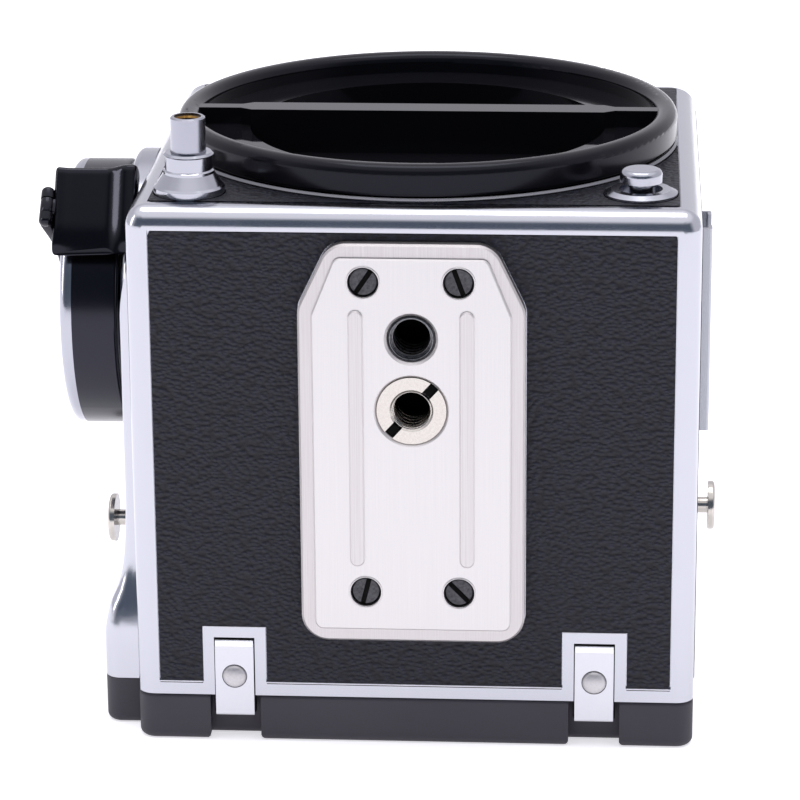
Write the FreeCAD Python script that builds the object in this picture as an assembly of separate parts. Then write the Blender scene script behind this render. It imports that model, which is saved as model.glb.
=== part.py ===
import FreeCAD, Part
import math
import os

os.makedirs("parts", exist_ok=True)

V = FreeCAD.Vector

# A medium format single lens reflex camera body with a front body cap and a rear cover.
# It lies on its rear cover. +Z is the lens axis and points to the front, -Y is the side with the
# tripod thread, +Y the side with the folded viewfinder hood, -X the side with the winding crank.
# The origin is on the rear cover's flat back, under the middle of the body. All sizes are in mm.

# Body casting
body_half_width = 39.0
body_half_height = 38.0
rear_plane = 6.9
front_plane = 77.5
front_round = 2.8
side_round = 2.4
finder_side_round = 4.5
side_wall = 7.0
bottom_wall = 8.5
top_wall = 6.5
front_wall = 2.5
rear_wall = 2.1
lens_axis_y = 2.0

# Housing of the winding gears on the crank side: a low land round the leather, which swells out
# to a broad foot at the rear. The foot's sections are pairs of height and reach past the land.
land_reach = 2.3
land_half_length = 29.5
land_corner = 1.6
land_bend = 57.0
land_front = 69.0
foot_reach = 3.1
foot_corner = 2.2
foot_top = 12.0
foot_sections = ((13.6, 3.06), (15.4, 2.8), (16.8, 2.5), (17.8, 2.2), (18.8, 1.75), (20.0, 1.25),
                 (21.4, 0.85), (23.4, 0.5), (26.5, 0.22), (29.5, 0.06))
land_low = 32.0
grip_room = 0.6
stud_pad_radius = 3.6

# Leather panels
leather_depth = 0.5
leather_proud = 0.12
leather_gap = 0.12
leather_corner = 0.6
leather_rear_inset = 2.0
leather_front_inset = 3.1
bottom_leather_inset = 3.2
front_leather_inset = 2.9
side_leather_inset = 3.6

# Tripod plate
plate_half_width = 15.45
plate_low = 16.1
plate_high = 73.3
plate_chamfer_low = 64.2
plate_top_half_width = 11.1
plate_corner = 3.8
plate_panel_corner = 1.2
plate_edge_chamfer = 0.3
plate_step_chamfer = 0.2
plate_base_thick = 1.7
plate_panel_thick = 0.5
plate_border = 1.9
rib_offset = 7.55
rib_width = 2.05
rib_low = 27.4
rib_high = 64.2
rib_height = 0.35
screw_offset = 6.44
screw_rows = (23.6, 68.1)
screw_head_radius = 2.05
screw_head_depth = 1.3
screw_sink = 0.35
screw_shank_radius = 1.2
screw_length = 6.0
screw_slot = 0.55
screw_turns = ((-76.0, -56.0), (46.0, 70.0))
quarter_inch_minor = 2.55
quarter_inch_z = 60.15
quarter_inch_mouth = 3.7
quarter_inch_lead = 3.2
quarter_inch_lead_deep = 1.2
insert_z = 49.95
insert_radius = 4.75
insert_chamfer = 5.15
insert_mouth = 3.0
insert_slot = 1.4
insert_slot_deep = 1.8
insert_turn = -48.0
insert_sink = 0.15
thread_depth = 7.3

# Rear cover and the hooks that carry it
cover_wall = 1.8
cover_front_gap = 0.1
cover_front_round = 0.5
cover_back_round = 1.0
cover_room_corner = 2.0
cover_rib_y = 12.0
cover_rib_half = 0.6
cover_rib_high = 3.0
notch_inner = 21.6
notch_outer = 28.7
notch_depth = 2.5
hook_middle = 25.15
hook_width = 5.4
hook_low = 3.95
hook_high = 15.1
hook_thick = 1.45
hook_proud = 0.4
hook_roll = 0.75
hook_tip = 0.25
hook_pocket_gap = 0.15
hook_top_gap = 0.45
surround_half = 4.4
surround_high = 17.15
rivet_radius = 1.65
rivet_z = 9.9
rivet_dome = 0.7

# Lens mount
mount_outer = 36.0
mount_flange = 0.6
mount_throat = 29.5
mount_sleeve_wall = 1.4
mount_lug_reach = 1.9
mount_lug_low = 76.2
mount_lug_half_angle = 22.0
mount_lugs = 4
mount_screw_circle = 33.2
mount_screws = 5
mount_screw_radius = 1.1
mount_shank_radius = 0.66
mount_shank_end = 0.15
throat_gap = 0.1

# Front body cap
cap_seat_gap = 0.1
cap_undercut_in = 0.8
cap_undercut_high = 0.55
cap_rim_in = 0.1
cap_top = 82.6
cap_lip = 3.2
cap_brim_round = 1.45
cap_spigot_gap = 0.4
cap_spigot_wall = 1.6
cap_spigot_low = 74.3
cap_lug_gap = 0.3
cap_lug_thick = 1.6
cap_lug_half_angle = 17.0
cap_floor = 1.5
bar_half_length = 25.3
bar_width = 4.4
bar_neck_width = 2.3
bar_top_drop = 0.5
bar_taper = 1.6

# Shutter release at the front, by its distance from the crank side and the tripod side
release_inset_x = 8.1
release_inset_y = 8.6
release_flange_radius = 4.9
release_flange_thick = 1.3
release_cone_high = 1.6
release_collar_radius = 3.25
release_collar_high = 2.9
release_tube_radius = 2.4
release_tube_high = 4.9
release_stem_deep = 5.0
release_insert_radius = 1.85
release_insert_deep = 5.0
release_thread_radius = 1.45
release_travel = 2.5

# Lens lock button at the front
lock_inset_x = 8.3
lock_inset_y = 9.6
lock_flange_radius = 5.0
lock_flange_thick = 0.9
lock_button_radius = 2.9
lock_button_high = 2.8
lock_stem_radius = 1.6
lock_stem_deep = 4.6
lock_travel = 1.8
button_gap = 0.06
button_block = 7.0
button_block_deep = 9.5

# Winding crank
crank_y = 0.0
crank_z = 54.7
boss_radius = 21.0
boss_reach = 3.2
boss_neck_radius = 17.0
boss_neck_reach = 0.55
drum_radius = 19.35
drum_thick = 6.5
drum_wall = 2.0
drum_hub_radius = 6.0
drum_gap = 0.25
rim_thick = 1.8
rim_round = 1.2
rim_bore = 11.0
arm_thick = 1.6
arm_lift = 0.55
arm_hub_radius = 8.5
arm_half_width = 2.9
arm_tip_round = 1.6
grip_angle = 45.0
grip_side_gap = 2.25
grip_depth = 4.8
grip_taper = 2.2
grip_hinge_in = 2.0
grip_length = 11.7
grip_half_width = 5.85
grip_round = 1.0
grip_face_gap = 0.1
knuckle_half_width = 1.4
knuckle_radius = 0.76
knuckle_gap = 0.1
fork_room = 0.3
grip_pin_radius = 0.4
shaft_radius = 3.0
shaft_gap = 0.05
hub_screw_radius = 4.6
hub_screw_high = 0.9
hub_screw_shank = 2.4
hub_screw_slot = 0.8

# Winding gears
gear_module = 1.0
gear_thick = 3.0
gear_tooth_share = 0.88
winding_teeth = 24
idler_teeth = 18
magazine_teeth = 20
gear_pocket_deep = 4.6
gear_pocket_gap = 0.7
axle_radius = 1.5
gear_bearing_gap = 0.05
gear_side_gap = 0.5

# Mirror chamber, with its pivots by their distance from the casting's inner walls
chamber_gap = 0.1
chamber_wall = 1.6
mirror_pivot_drop = 3.3
mirror_pivot_rise = 6.5
mirror_length = 57.0
mirror_half_width = 27.0
mirror_tray = 1.6
mirror_glass = 1.5
mirror_barrel = 1.2
pivot_pin = 0.8
pivot_gap = 0.05
flap_pivot_rise = 2.95
upper_flap_drop = 5.2
lower_flap_rise = 3.2
gate_edge = 0.4
flap_meet = 0.1
flap_meet_gap = 0.4
flap_thick = 0.8
flap_barrel = 0.6
flap_pin = 0.35
gate_half_width = 28.0
flap_half_width = 28.6
drive_x = -14.0
drive_y = -21.0
drive_radius = 2.4
drive_cap_gap = 0.3
drive_rear = 64.5
drive_slot = 1.0

# Focusing screen
screen_half_width = 29.0
screen_low = 13.0
screen_high = 72.0
screen_ledge = 2.0
screen_frame_thick = 2.6
screen_frame_wide = 2.2
screen_glass_thick = 1.6

# Folded viewfinder hood
rail_half_width = 34.4
rail_inner = 31.3
rail_high = 3.4
rail_lip = 1.2
rail_lip_thick = 1.2
rail_low = 9.5
rail_end = 72.5
hood_rail_gap = 0.2
hood_foot_thick = 1.8
hood_wall = 0.9
hood_low = 10.0
hood_high = 71.8
hood_window_half = 26.0
hood_window_low = 15.0
hood_window_high = 69.0
hood_wall_top = 13.9
lid_thick = 1.0
lid_hinge_rise = 15.0
lid_plate_rise = 14.4
lid_hinge_in = 1.3
lid_ear_gap = 3.0
lid_tongue = 5.0
lid_hump = 3.0
lid_hump_half = 16.0
lid_hump_low = 22.0
lid_hump_high = 58.0
leaf_thick = 0.8
side_leaf_rise = 12.9
side_leaf_in = 1.7
rear_leaf_rise = 11.2
rear_leaf_in = 1.7
rear_leaf_length = 26.0
leaf_barrel = 0.65
leaf_pin = 0.4
leaf_gap = 0.8
mitre_gap = 0.5
lens_radius = 11.0
lens_z = 40.0
lens_thick = 1.6

# Small fittings on the sides
rail_bottom = 35.9
rail_top = 66.3
rail_half = 5.0
rail_floor = 0.4
rail_wall = 0.8
rail_high_side = 2.1
rail_lip_reach = 1.3
rail_lip_deep = 0.55
rail_screw_radius = 1.5
rail_screw_head = 0.6
rail_screw_shank = 0.8
rail_screw_inset = 7.0
lug_post_radius = 1.2
lug_post_high = 1.75
lug_head_radius = 3.6
lug_head_thick = 1.0
lug_collar_radius = 2.6
lug_collar_high = 0.6
lug_root = 2.5
left_lug_z = 22.6
right_lug_z = 19.2

# Levels that follow from the sizes above
side = body_half_width
bottom = -body_half_height
top = body_half_height
cavity_x = side - side_wall
cavity_bottom = bottom + bottom_wall
cavity_top = top - top_wall
cavity_front = front_plane - front_wall
cavity_rear = rear_plane + rear_wall
plate_base_face = bottom - plate_base_thick
plate_face = plate_base_face - plate_panel_thick
mount_face = front_plane + mount_flange
mount_sleeve_outer = mount_throat + mount_sleeve_wall
mount_lug_inner = mount_throat - mount_lug_reach
cap_spigot_radius = mount_lug_inner - cap_spigot_gap
cap_lug_radius = mount_throat - cap_lug_gap
cap_rim_radius = mount_outer - cap_rim_in
cap_undercut_radius = mount_outer - cap_undercut_in
bottom_leather_low = rear_plane + leather_rear_inset
leather_high = front_plane - leather_front_inset
bottom_leather_half_width = body_half_width - bottom_leather_inset
front_leather_half_width = body_half_width - front_leather_inset
side_leather_half_height = body_half_height - side_leather_inset
land_x = -side - land_reach
foot_x = land_x - foot_reach
right_lug_foot = foot_x
release_x = -side + release_inset_x
release_y = bottom + release_inset_y
lock_x = side - lock_inset_x
lock_y = bottom + lock_inset_y
boss_face = -side - boss_reach
neck_face = boss_face - boss_neck_reach
drum_back = neck_face - drum_gap
drum_face = drum_back - drum_thick
rim_face = drum_face - rim_thick
arm_back = rim_face - arm_lift
arm_face = arm_back - arm_thick
grip_pivot_x = (arm_back + arm_face) / 2
grip_low = drum_radius + grip_side_gap
grip_high = grip_low + grip_depth
grip_reach = grip_high - grip_hinge_in
grip_start = arm_back + grip_face_gap
grip_end = grip_start + grip_length
grip_sweep = math.hypot(grip_high, grip_half_width) + grip_room
pocket_x = -cavity_x - gear_pocket_deep
idler_z = crank_z - gear_module * (winding_teeth + idler_teeth) / 2
magazine_z = idler_z - gear_module * (idler_teeth + magazine_teeth) / 2
box_x = cavity_x - chamber_gap
box_bottom = cavity_bottom + chamber_gap
box_top = cavity_top - chamber_gap
box_front = cavity_front - chamber_gap
box_rear = cavity_rear + chamber_gap
mirror_pivot_y = cavity_top - mirror_pivot_drop
mirror_pivot_z = cavity_rear + mirror_pivot_rise
upper_flap_y = cavity_top - upper_flap_drop
lower_flap_y = cavity_bottom + lower_flap_rise
flap_pivot_z = cavity_rear + flap_pivot_rise
gate_low = lower_flap_y + gate_edge
gate_high = upper_flap_y - gate_edge
hood_foot_half = rail_inner - hood_rail_gap
hood_half_width = rail_inner - rail_lip - hood_rail_gap
drive_front = cap_spigot_low - drive_cap_gap
SMALL = 1e-4


# Plain shapes

def box(x0, x1, y0, y1, z0, z1):
    return Part.makeBox(x1 - x0, y1 - y0, z1 - z0, V(x0, y0, z0))


def place(axis, a, b, along):
    """A point from its place along an axis and its two other coordinates, in x, y, z order."""
    return {"x": V(along, a, b), "y": V(a, along, b), "z": V(a, b, along)}[axis]


def way(axis):
    return {"x": V(1, 0, 0), "y": V(0, 1, 0), "z": V(0, 0, 1)}[axis]


def rod(axis, a, b, low, high, radius):
    return Part.makeCylinder(radius, high - low, place(axis, a, b, low), way(axis))


def cone(axis, a, b, low, high, low_radius, high_radius):
    return Part.makeCone(low_radius, high_radius, high - low, place(axis, a, b, low), way(axis))


def ring(axis, a, b, low, high, outer, inner):
    return rod(axis, a, b, low, high, outer).cut(rod(axis, a, b, low - 1, high + 1, inner))


def prism(axis, outline, low, high):
    """A straight prism over a closed outline of points given by their two other coordinates."""
    points = [place(axis, a, b, low) for a, b in outline]
    face = Part.Face(Part.makePolygon(points + [points[0]]))
    return face.extrude(way(axis) * (high - low))


def straight_edges(shape, axis, shortest=0.0):
    """The straight edges of a shape that run along an axis."""
    found = []
    for edge in shape.Edges:
        ends = [v.Point for v in edge.Vertexes]
        if len(ends) == 2 and edge.Curve.TypeId == "Part::GeomLine":
            run = ends[1] - ends[0]
            if run.Length > shortest and run.cross(way(axis)).Length < SMALL:
                found.append(edge)
    return found


def edges_at(shape, axis, level):
    """The edges whose two ends and middle lie at one level of an axis."""
    found = []
    for edge in shape.Edges:
        middle = edge.valueAt((edge.FirstParameter + edge.LastParameter) / 2)
        spots = [v.Point for v in edge.Vertexes] + [middle]
        if all(abs(p.dot(way(axis)) - level) < SMALL for p in spots):
            found.append(edge)
    return found


def corner_edges(block, finder_side):
    """The upright edges at the body's corners, on the finder side or on the tripod side."""
    wanted = top if finder_side else bottom
    return [e for e in straight_edges(block, "z") if abs(e.BoundBox.YMin - wanted) < SMALL
            and abs(e.BoundBox.XMin) > side - SMALL]


def slab(axis, a0, a1, b0, b1, low, high, corner):
    """A plate square to an axis, with its four corners rounded."""
    plain = prism(axis, [(a0, b0), (a1, b0), (a1, b1), (a0, b1)], low, high)
    return plain.makeFillet(corner, straight_edges(plain, axis))


def lathe(points, x, y):
    """A solid turned about an upright line, from a closed outline of radius and height."""
    corners = [V(x + r, y, z) for r, z in points]
    face = Part.Face(Part.makePolygon(corners + [corners[0]]))
    return face.revolve(V(x, y, 0), V(0, 0, 1), 360)


def mirrored(shape):
    return shape.mirror(V(0, 0, 0), V(1, 0, 0))


def save(name, *solids):
    """Write one node: one solid, or a group of separate solids."""
    kept = []
    for shape in solids:
        clean = shape.removeSplitter()
        kept.extend(clean.Solids)
    whole = kept[0] if len(kept) == 1 else Part.makeCompound(kept)
    whole.exportStep("parts/" + name + ".step")
    facets = sum(len(s.tessellate(0.05)[1]) for s in kept)
    box_now = whole.BoundBox
    print(name, len(kept), "solid(s)", round(whole.Volume, 1), "mm3", facets, "facets",
          "valid" if whole.isValid() else "NOT VALID",
          [round(v, 2) for v in (box_now.XMin, box_now.XMax, box_now.YMin, box_now.YMax,
                                 box_now.ZMin, box_now.ZMax)])


# Body casting

def land_outline(z, grow, corner):
    """The gear housing's outline at one height, with its two outer corners rounded."""
    inner = -side + side_wall - 1
    x = land_x - grow
    y = land_half_length + grow
    k = corner * (1 - math.sqrt(0.5))
    return Part.Wire([
        Part.LineSegment(V(inner, -y, z), V(x + corner, -y, z)).toShape(),
        Part.Arc(V(x + corner, -y, z), V(x + k, -y + k, z), V(x, -y + corner, z)).toShape(),
        Part.LineSegment(V(x, -y + corner, z), V(x, y - corner, z)).toShape(),
        Part.Arc(V(x, y - corner, z), V(x + k, y - k, z), V(x + corner, y, z)).toShape(),
        Part.LineSegment(V(x + corner, y, z), V(inner, y, z)).toShape(),
        Part.LineSegment(V(inner, y, z), V(inner, -y, z)).toShape(),
    ])


def foot_block(low, high):
    """The housing's broad foot, straight between two levels; the rear cover repeats it."""
    return Part.Face(land_outline(low, foot_reach, foot_corner)).extrude(V(0, 0, high - low))


def land_block():
    """The land round the crank's leather, which dies away into the side near the front."""
    block = Part.Face(land_outline(land_low, 0, land_corner))
    block = block.extrude(V(0, 0, land_front - land_low))
    run = land_front - land_bend
    radius = (run * run + land_reach * land_reach) / (2 * land_reach)
    half_turn = math.atan2(run, radius - land_reach) / 2
    inner = -side + side_wall - 1
    middle = V(land_x + radius * (1 - math.cos(half_turn)), 0,
               land_bend + radius * math.sin(half_turn))
    edges = [
        Part.LineSegment(V(inner, 0, land_front), V(inner, 0, land_low)).toShape(),
        Part.LineSegment(V(inner, 0, land_low), V(land_x, 0, land_low)).toShape(),
        Part.LineSegment(V(land_x, 0, land_low), V(land_x, 0, land_bend)).toShape(),
        Part.Arc(V(land_x, 0, land_bend), middle, V(-side, 0, land_front)).toShape(),
        Part.LineSegment(V(-side, 0, land_front), V(inner, 0, land_front)).toShape(),
    ]
    face = Part.Face(Part.Wire(edges))
    face.translate(V(0, -land_half_length - 1, 0))
    return block.common(face.extrude(V(0, 2 * land_half_length + 2, 0)))


def grip_way(low, high, radius):
    """The room that the folded grip passes through as the crank turns, open to the front."""
    room = rod("x", crank_y, crank_z, low, high, radius)
    return room.fuse(box(low, high, crank_y - radius, crank_y + radius, crank_z,
                         front_plane + 1))


def make_housing():
    """Foot, swept sides and land of the gear housing, with the room for the grip cut out."""
    levels = [(foot_top, foot_reach)] + list(foot_sections) + [(land_low, 0.0)]
    wires = []
    for z, grow in levels:
        corner = land_corner + (foot_corner - land_corner) * grow / foot_reach
        wires.append(land_outline(z, grow, corner))
    swell = Part.makeLoft(wires, True, False)
    housing = foot_block(rear_plane, foot_top).fuse(swell).fuse(land_block())
    housing = housing.cut(grip_way(foot_x - 1, -side, grip_sweep))
    pad = rod("x", 0, right_lug_z, foot_x, -side, stud_pad_radius)
    return housing.fuse(pad)


def hook_places():
    return [-hook_middle, hook_middle]


def finder_rail():
    """One of the two undercut rails that the viewfinder slides into."""
    lip_x = rail_inner - rail_lip
    lip_y = top + rail_high - rail_lip_thick
    outline = [(rail_inner, top - 0.5), (rail_half_width, top - 0.5),
               (rail_half_width, top + rail_high), (lip_x + 0.6, top + rail_high), (lip_x, lip_y),
               (rail_inner, lip_y)]
    return prism("z", outline, rail_low, rail_end)


def gear_pocket():
    """The room for the gear train inside the crank side, open to the chamber."""
    pocket = None
    for teeth, z in ((winding_teeth, crank_z), (idler_teeth, idler_z), (magazine_teeth, magazine_z)):
        reach = gear_module * (teeth / 2 + 1) + gear_pocket_gap
        low_cut = rod("x", crank_y, z, pocket_x, -cavity_x + 0.5, reach)
        pocket = low_cut if pocket is None else pocket.fuse(low_cut)
    return pocket


def button_blocks(grow=0.0):
    """The two corner blocks of the chamber that the front buttons are bored in."""
    reach = button_block + grow
    low = cavity_front - button_block_deep - grow
    outline = [(cavity_x + 1, cavity_bottom - 1), (cavity_x + 1, cavity_bottom + reach),
               (cavity_x, cavity_bottom + reach), (cavity_x - reach, cavity_bottom),
               (cavity_x - reach, cavity_bottom - 1)]
    block = prism("z", outline, low, cavity_front + 0.5)
    return block.fuse(mirrored(block))


def make_body_shell():
    body = box(-side, side, bottom, top, rear_plane, front_plane)
    body = body.makeFillet(finder_side_round, corner_edges(body, True))
    body = body.makeFillet(front_round, edges_at(body, "z", front_plane))
    body = body.makeFillet(side_round, corner_edges(body, False))
    body = body.fuse(make_housing())
    rail = finder_rail()
    body = body.fuse(rail).fuse(mirrored(rail))

    # Chamber, lens opening, film gate and the well of the focusing screen
    body = body.cut(box(-cavity_x, cavity_x, cavity_bottom, cavity_top, cavity_rear, cavity_front))
    body = body.fuse(button_blocks())
    throat = mount_sleeve_outer + throat_gap
    body = body.cut(rod("z", 0, lens_axis_y, cavity_front - 1, front_plane + 1, throat))
    body = body.cut(box(-gate_half_width, gate_half_width, gate_low, gate_high, rear_plane - 1,
                        cavity_rear + 1))
    body = body.cut(box(-screen_half_width + screen_ledge, screen_half_width - screen_ledge,
                        cavity_top - 1, top + 1, screen_low + screen_ledge,
                        screen_high - screen_ledge))
    body = body.cut(box(-screen_half_width, screen_half_width, top - screen_frame_thick - 0.2,
                        top + 1, screen_low, screen_high))
    body = body.cut(gear_pocket())

    # Recesses for the leather
    z0, z1, b = bottom_leather_low, leather_high, bottom_leather_half_width
    body = body.cut(box(-b, b, bottom - 1, bottom + leather_depth, z0, z1))
    h = side_leather_half_height
    body = body.cut(box(side - leather_depth, side + 1, -h, h, z0, z1))
    body = body.cut(crank_leather_room(-side - 1, -side + leather_depth, 0.0))
    f = front_leather_half_width
    body = body.cut(box(-f, f, -h, h, front_plane - leather_depth, front_plane + 1))
    solid_rings = [rod("z", 0, lens_axis_y, front_plane - 1, front_plane, mount_outer - 0.3),
                   rod("x", crank_y, crank_z, -side, -side + 1, boss_radius - 0.3)]
    for pad in solid_rings:
        body = body.fuse(pad)
    body = body.cut(rod("z", 0, lens_axis_y, front_plane - 2, front_plane + 1, throat))

    # Surrounds of the two hooks, and the pockets that the hooks sit in
    for x in hook_places():
        half = surround_half
        body = body.fuse(box(x - half, x + half, bottom, bottom + leather_depth + 0.1,
                             z0 - 0.5, surround_high))
        half = hook_width / 2 + hook_pocket_gap
        body = body.cut(box(x - half, x + half, bottom - 1,
                            bottom + hook_thick - hook_proud + 0.02, rear_plane - 1,
                            hook_high + hook_top_gap))
        body = body.cut(rod("y", x, rivet_z, bottom - 1, bottom + 4.02, rivet_radius * 0.6))

    # Seat of the tripod plate, its screws and the two threads
    body = body.fuse(plate_blank(bottom, bottom + leather_depth + 0.1))
    for sign in (-1, 1):
        for z in screw_rows:
            body = body.cut(rod("y", sign * screw_offset, z, bottom - 1, bottom + screw_length - 1.2,
                                screw_shank_radius + 0.02))
    deep = bottom + thread_depth
    body = body.cut(rod("y", 0, quarter_inch_z, bottom - 1, deep, quarter_inch_minor))
    body = body.cut(rod("y", 0, insert_z, bottom - 1, deep, insert_radius))

    # Bores of the front buttons, the crank shaft and the gear axles
    body = body.cut(rod("z", release_x, release_y, front_plane - release_stem_deep - release_travel
                        - 0.6, front_plane + 1, release_tube_radius + button_gap))
    body = body.cut(rod("z", lock_x, lock_y, front_plane - lock_stem_deep - lock_travel - 0.6,
                        front_plane + 1, lock_stem_radius + button_gap))
    body = body.cut(rod("x", crank_y, crank_z, -side - 1, -cavity_x + 1, shaft_radius + shaft_gap))
    for z in (idler_z, magazine_z):
        body = body.cut(rod("x", crank_y, z, pocket_x - 1.6, pocket_x + 1, axle_radius + 0.02))

    # Holes of the mount screws, strap lugs and accessory rail screws
    for x, y in mount_screw_places():
        body = body.cut(rod("z", x, y, cavity_front + mount_shank_end - 0.05, front_plane + 1,
                            mount_shank_radius + 0.02))
    body = body.cut(rod("x", 0, left_lug_z, side - lug_root, side + 2, lug_post_radius + 0.02))
    body = body.cut(rod("x", 0, right_lug_z, right_lug_foot - 2, right_lug_foot + lug_root,
                        lug_post_radius + 0.02))
    for z in rail_screw_places():
        body = body.cut(rod("x", 0, z, side - 4, side + 1, rail_screw_shank + 0.02))
    return body


# Leather panels

def make_bottom_leather():
    b = bottom_leather_half_width - leather_gap
    sheet = slab("y", -b, b, bottom_leather_low + leather_gap, leather_high - leather_gap,
                 bottom - leather_proud, bottom + leather_depth, leather_corner)
    for x in hook_places():
        half = surround_half + leather_gap
        sheet = sheet.cut(box(x - half, x + half, bottom - 2, bottom + 2, rear_plane,
                              surround_high + leather_gap))
    return sheet.cut(plate_blank(bottom - 2, bottom + 2, leather_gap))


def make_left_leather():
    h = side_leather_half_height - leather_gap
    sheet = slab("x", -h, h, bottom_leather_low + leather_gap, leather_high - leather_gap,
                 side - leather_depth, side + leather_proud, leather_corner)
    r = rail_half + leather_gap
    sheet = sheet.cut(box(side - 2, side + 2, -r, r, rail_bottom - leather_gap,
                          rail_top + leather_gap))
    return sheet.cut(rod("x", 0, left_lug_z, side - 2, side + 2, lug_collar_radius + leather_gap))


def crank_leather_room(low, high, inset):
    """The leather's place inside the land of the crank side, as a block between two levels."""
    room = grip_way(low, high, grip_sweep - land_corner - inset)
    return room.common(box(low - 1, high + 1, -side, side, rear_plane, leather_high - inset))


def make_right_leather():
    sheet = crank_leather_room(-side - leather_proud, -side + leather_depth, leather_gap)
    return sheet.cut(rod("x", crank_y, crank_z, -side - 2, -side + 2, boss_radius + leather_gap))


def make_front_leather():
    h = side_leather_half_height - leather_gap
    f = front_leather_half_width - leather_gap
    sheet = slab("z", -f, f, -h, h, front_plane - leather_depth, front_plane + leather_proud,
                 leather_corner)
    holes = ((0, lens_axis_y, mount_outer), (release_x, release_y, release_flange_radius),
             (lock_x, lock_y, lock_flange_radius))
    for x, y, radius in holes:
        sheet = sheet.cut(rod("z", x, y, front_plane - 2, front_plane + 2, radius + leather_gap))
    return sheet


# Tripod plate and what it holds

def plate_outline(grow):
    """The plate's outline with its two cut corners, grown or shrunk all round."""
    half = plate_half_width + grow
    low = plate_low - grow
    high = plate_high + grow
    top_half = plate_top_half_width + grow * 0.4
    knee = plate_chamfer_low + grow * 0.4
    return [(-half, low), (half, low), (half, knee), (top_half, high), (-top_half, high),
            (-half, knee)]


def plate_blank(y0, y1, grow=0.0, corner=plate_corner):
    blank = prism("y", plate_outline(grow), y0, y1)
    return blank.makeFillet(corner, straight_edges(blank, "y"))


def make_tripod_plate():
    plate = plate_blank(plate_base_face, bottom)
    plate = plate.makeChamfer(plate_edge_chamfer, edges_at(plate, "y", plate_base_face))
    panel = plate_blank(plate_face, plate_base_face + 0.3, -plate_border, plate_panel_corner)
    plate = plate.fuse(panel.makeChamfer(plate_step_chamfer, edges_at(panel, "y", plate_face)))
    for sign in (-1, 1):
        x = sign * rib_offset
        half = rib_width / 2
        rib = slab("y", x - half, x + half, rib_low, rib_high, plate_face - rib_height,
                   plate_face + 0.2, half - 0.01)
        crest = edges_at(rib, "y", plate_face - rib_height)
        plate = plate.fuse(rib.makeChamfer(plate_step_chamfer, crest))
    for sign in (-1, 1):
        for z in screw_rows:
            x = sign * screw_offset
            seat = plate_face + screw_sink + screw_head_depth
            plate = plate.cut(rod("y", x, z, plate_face - 1, seat, screw_head_radius + 0.05))
            plate = plate.cut(rod("y", x, z, seat - 0.5, bottom + 1, screw_shank_radius + 0.02))
    plate = plate.cut(rod("y", 0, quarter_inch_z, plate_face - 1, bottom + 1, quarter_inch_minor))
    holes = ((quarter_inch_z, quarter_inch_mouth, quarter_inch_lead, quarter_inch_lead_deep),
             (insert_z, insert_chamfer, insert_radius, bottom - plate_face + 1))
    for z, mouth, bore, deep in holes:
        plate = plate.cut(rod("y", 0, z, plate_face - 1, plate_face + deep, bore))
        plate = plate.cut(cone("y", 0, z, plate_face - 0.01, plate_face + mouth - bore, mouth,
                               bore))
    return plate


def make_thread_insert():
    face = plate_face + insert_sink
    deep = bottom + thread_depth
    bush = rod("y", 0, insert_z, face, deep, insert_radius)
    bush = bush.cut(rod("y", 0, insert_z, face - 1, deep + 1, quarter_inch_minor))
    drop = insert_mouth - quarter_inch_minor
    bush = bush.cut(cone("y", 0, insert_z, face - 0.01, face + drop, insert_mouth,
                         quarter_inch_minor))
    slot = box(-insert_radius - 1, insert_radius + 1, face - 1, face + insert_slot_deep, insert_z
               - insert_slot / 2, insert_z + insert_slot / 2)
    slot.rotate(V(0, 0, insert_z), V(0, 1, 0), insert_turn)
    return bush.cut(slot)


def make_plate_screw(sign, row):
    x = sign * screw_offset
    z = screw_rows[row]
    face = plate_face + screw_sink
    seat = face + screw_head_depth
    head = rod("y", x, z, face, seat, screw_head_radius)
    head = head.makeChamfer(0.25, edges_at(head, "y", face))
    screw = head.fuse(rod("y", x, z, seat - 0.1, bottom + screw_length - 1.4,
                          screw_shank_radius))
    slot = box(x - 3, x + 3, face - 1, face + 0.7, z - screw_slot / 2, z + screw_slot / 2)
    slot.rotate(V(x, 0, z), V(0, 1, 0), screw_turns[(sign + 1) // 2][row])
    return screw.cut(slot)


# Hooks and rear cover

def make_hook(x):
    outer = bottom - hook_proud
    inner = outer + hook_thick
    half = hook_width / 2
    tab = box(x - half, x + half, outer, inner, hook_low, hook_high)
    for level, size in ((hook_high, hook_roll), (hook_low, hook_tip)):
        edge = [e for e in edges_at(tab, "y", outer) if abs(e.BoundBox.ZMin - level) < 0.01
                and e.BoundBox.ZLength < SMALL]
        tab = tab.makeChamfer(size, edge)
    hole = rod("y", x, rivet_z, outer - 1, inner + 1, rivet_radius * 0.6 + 0.02)
    return tab.cut(hole)


def make_rivet(x):
    outer = bottom - hook_proud
    head = rod("y", x, rivet_z, outer - rivet_dome, outer - 0.01, rivet_radius)
    head = head.makeFillet(rivet_dome * 0.8, edges_at(head, "y", outer - rivet_dome))
    return head.fuse(rod("y", x, rivet_z, outer - 0.2, bottom + 4, rivet_radius * 0.6))


def cover_outline(low, high):
    """The outline of the rear cover, body and swollen side together, between two levels."""
    block = box(-side, side, bottom, top, low, high)
    block = block.makeFillet(finder_side_round, corner_edges(block, True))
    block = block.makeFillet(side_round, corner_edges(block, False))
    block = block.fuse(foot_block(low, high)).removeSplitter()
    for sign in (-1, 1):
        x0, x1 = sorted((sign * notch_inner, sign * notch_outer))
        block = block.cut(box(x0, x1, bottom - 1, bottom + notch_depth, low - 1, high + 1))
    return block


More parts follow.
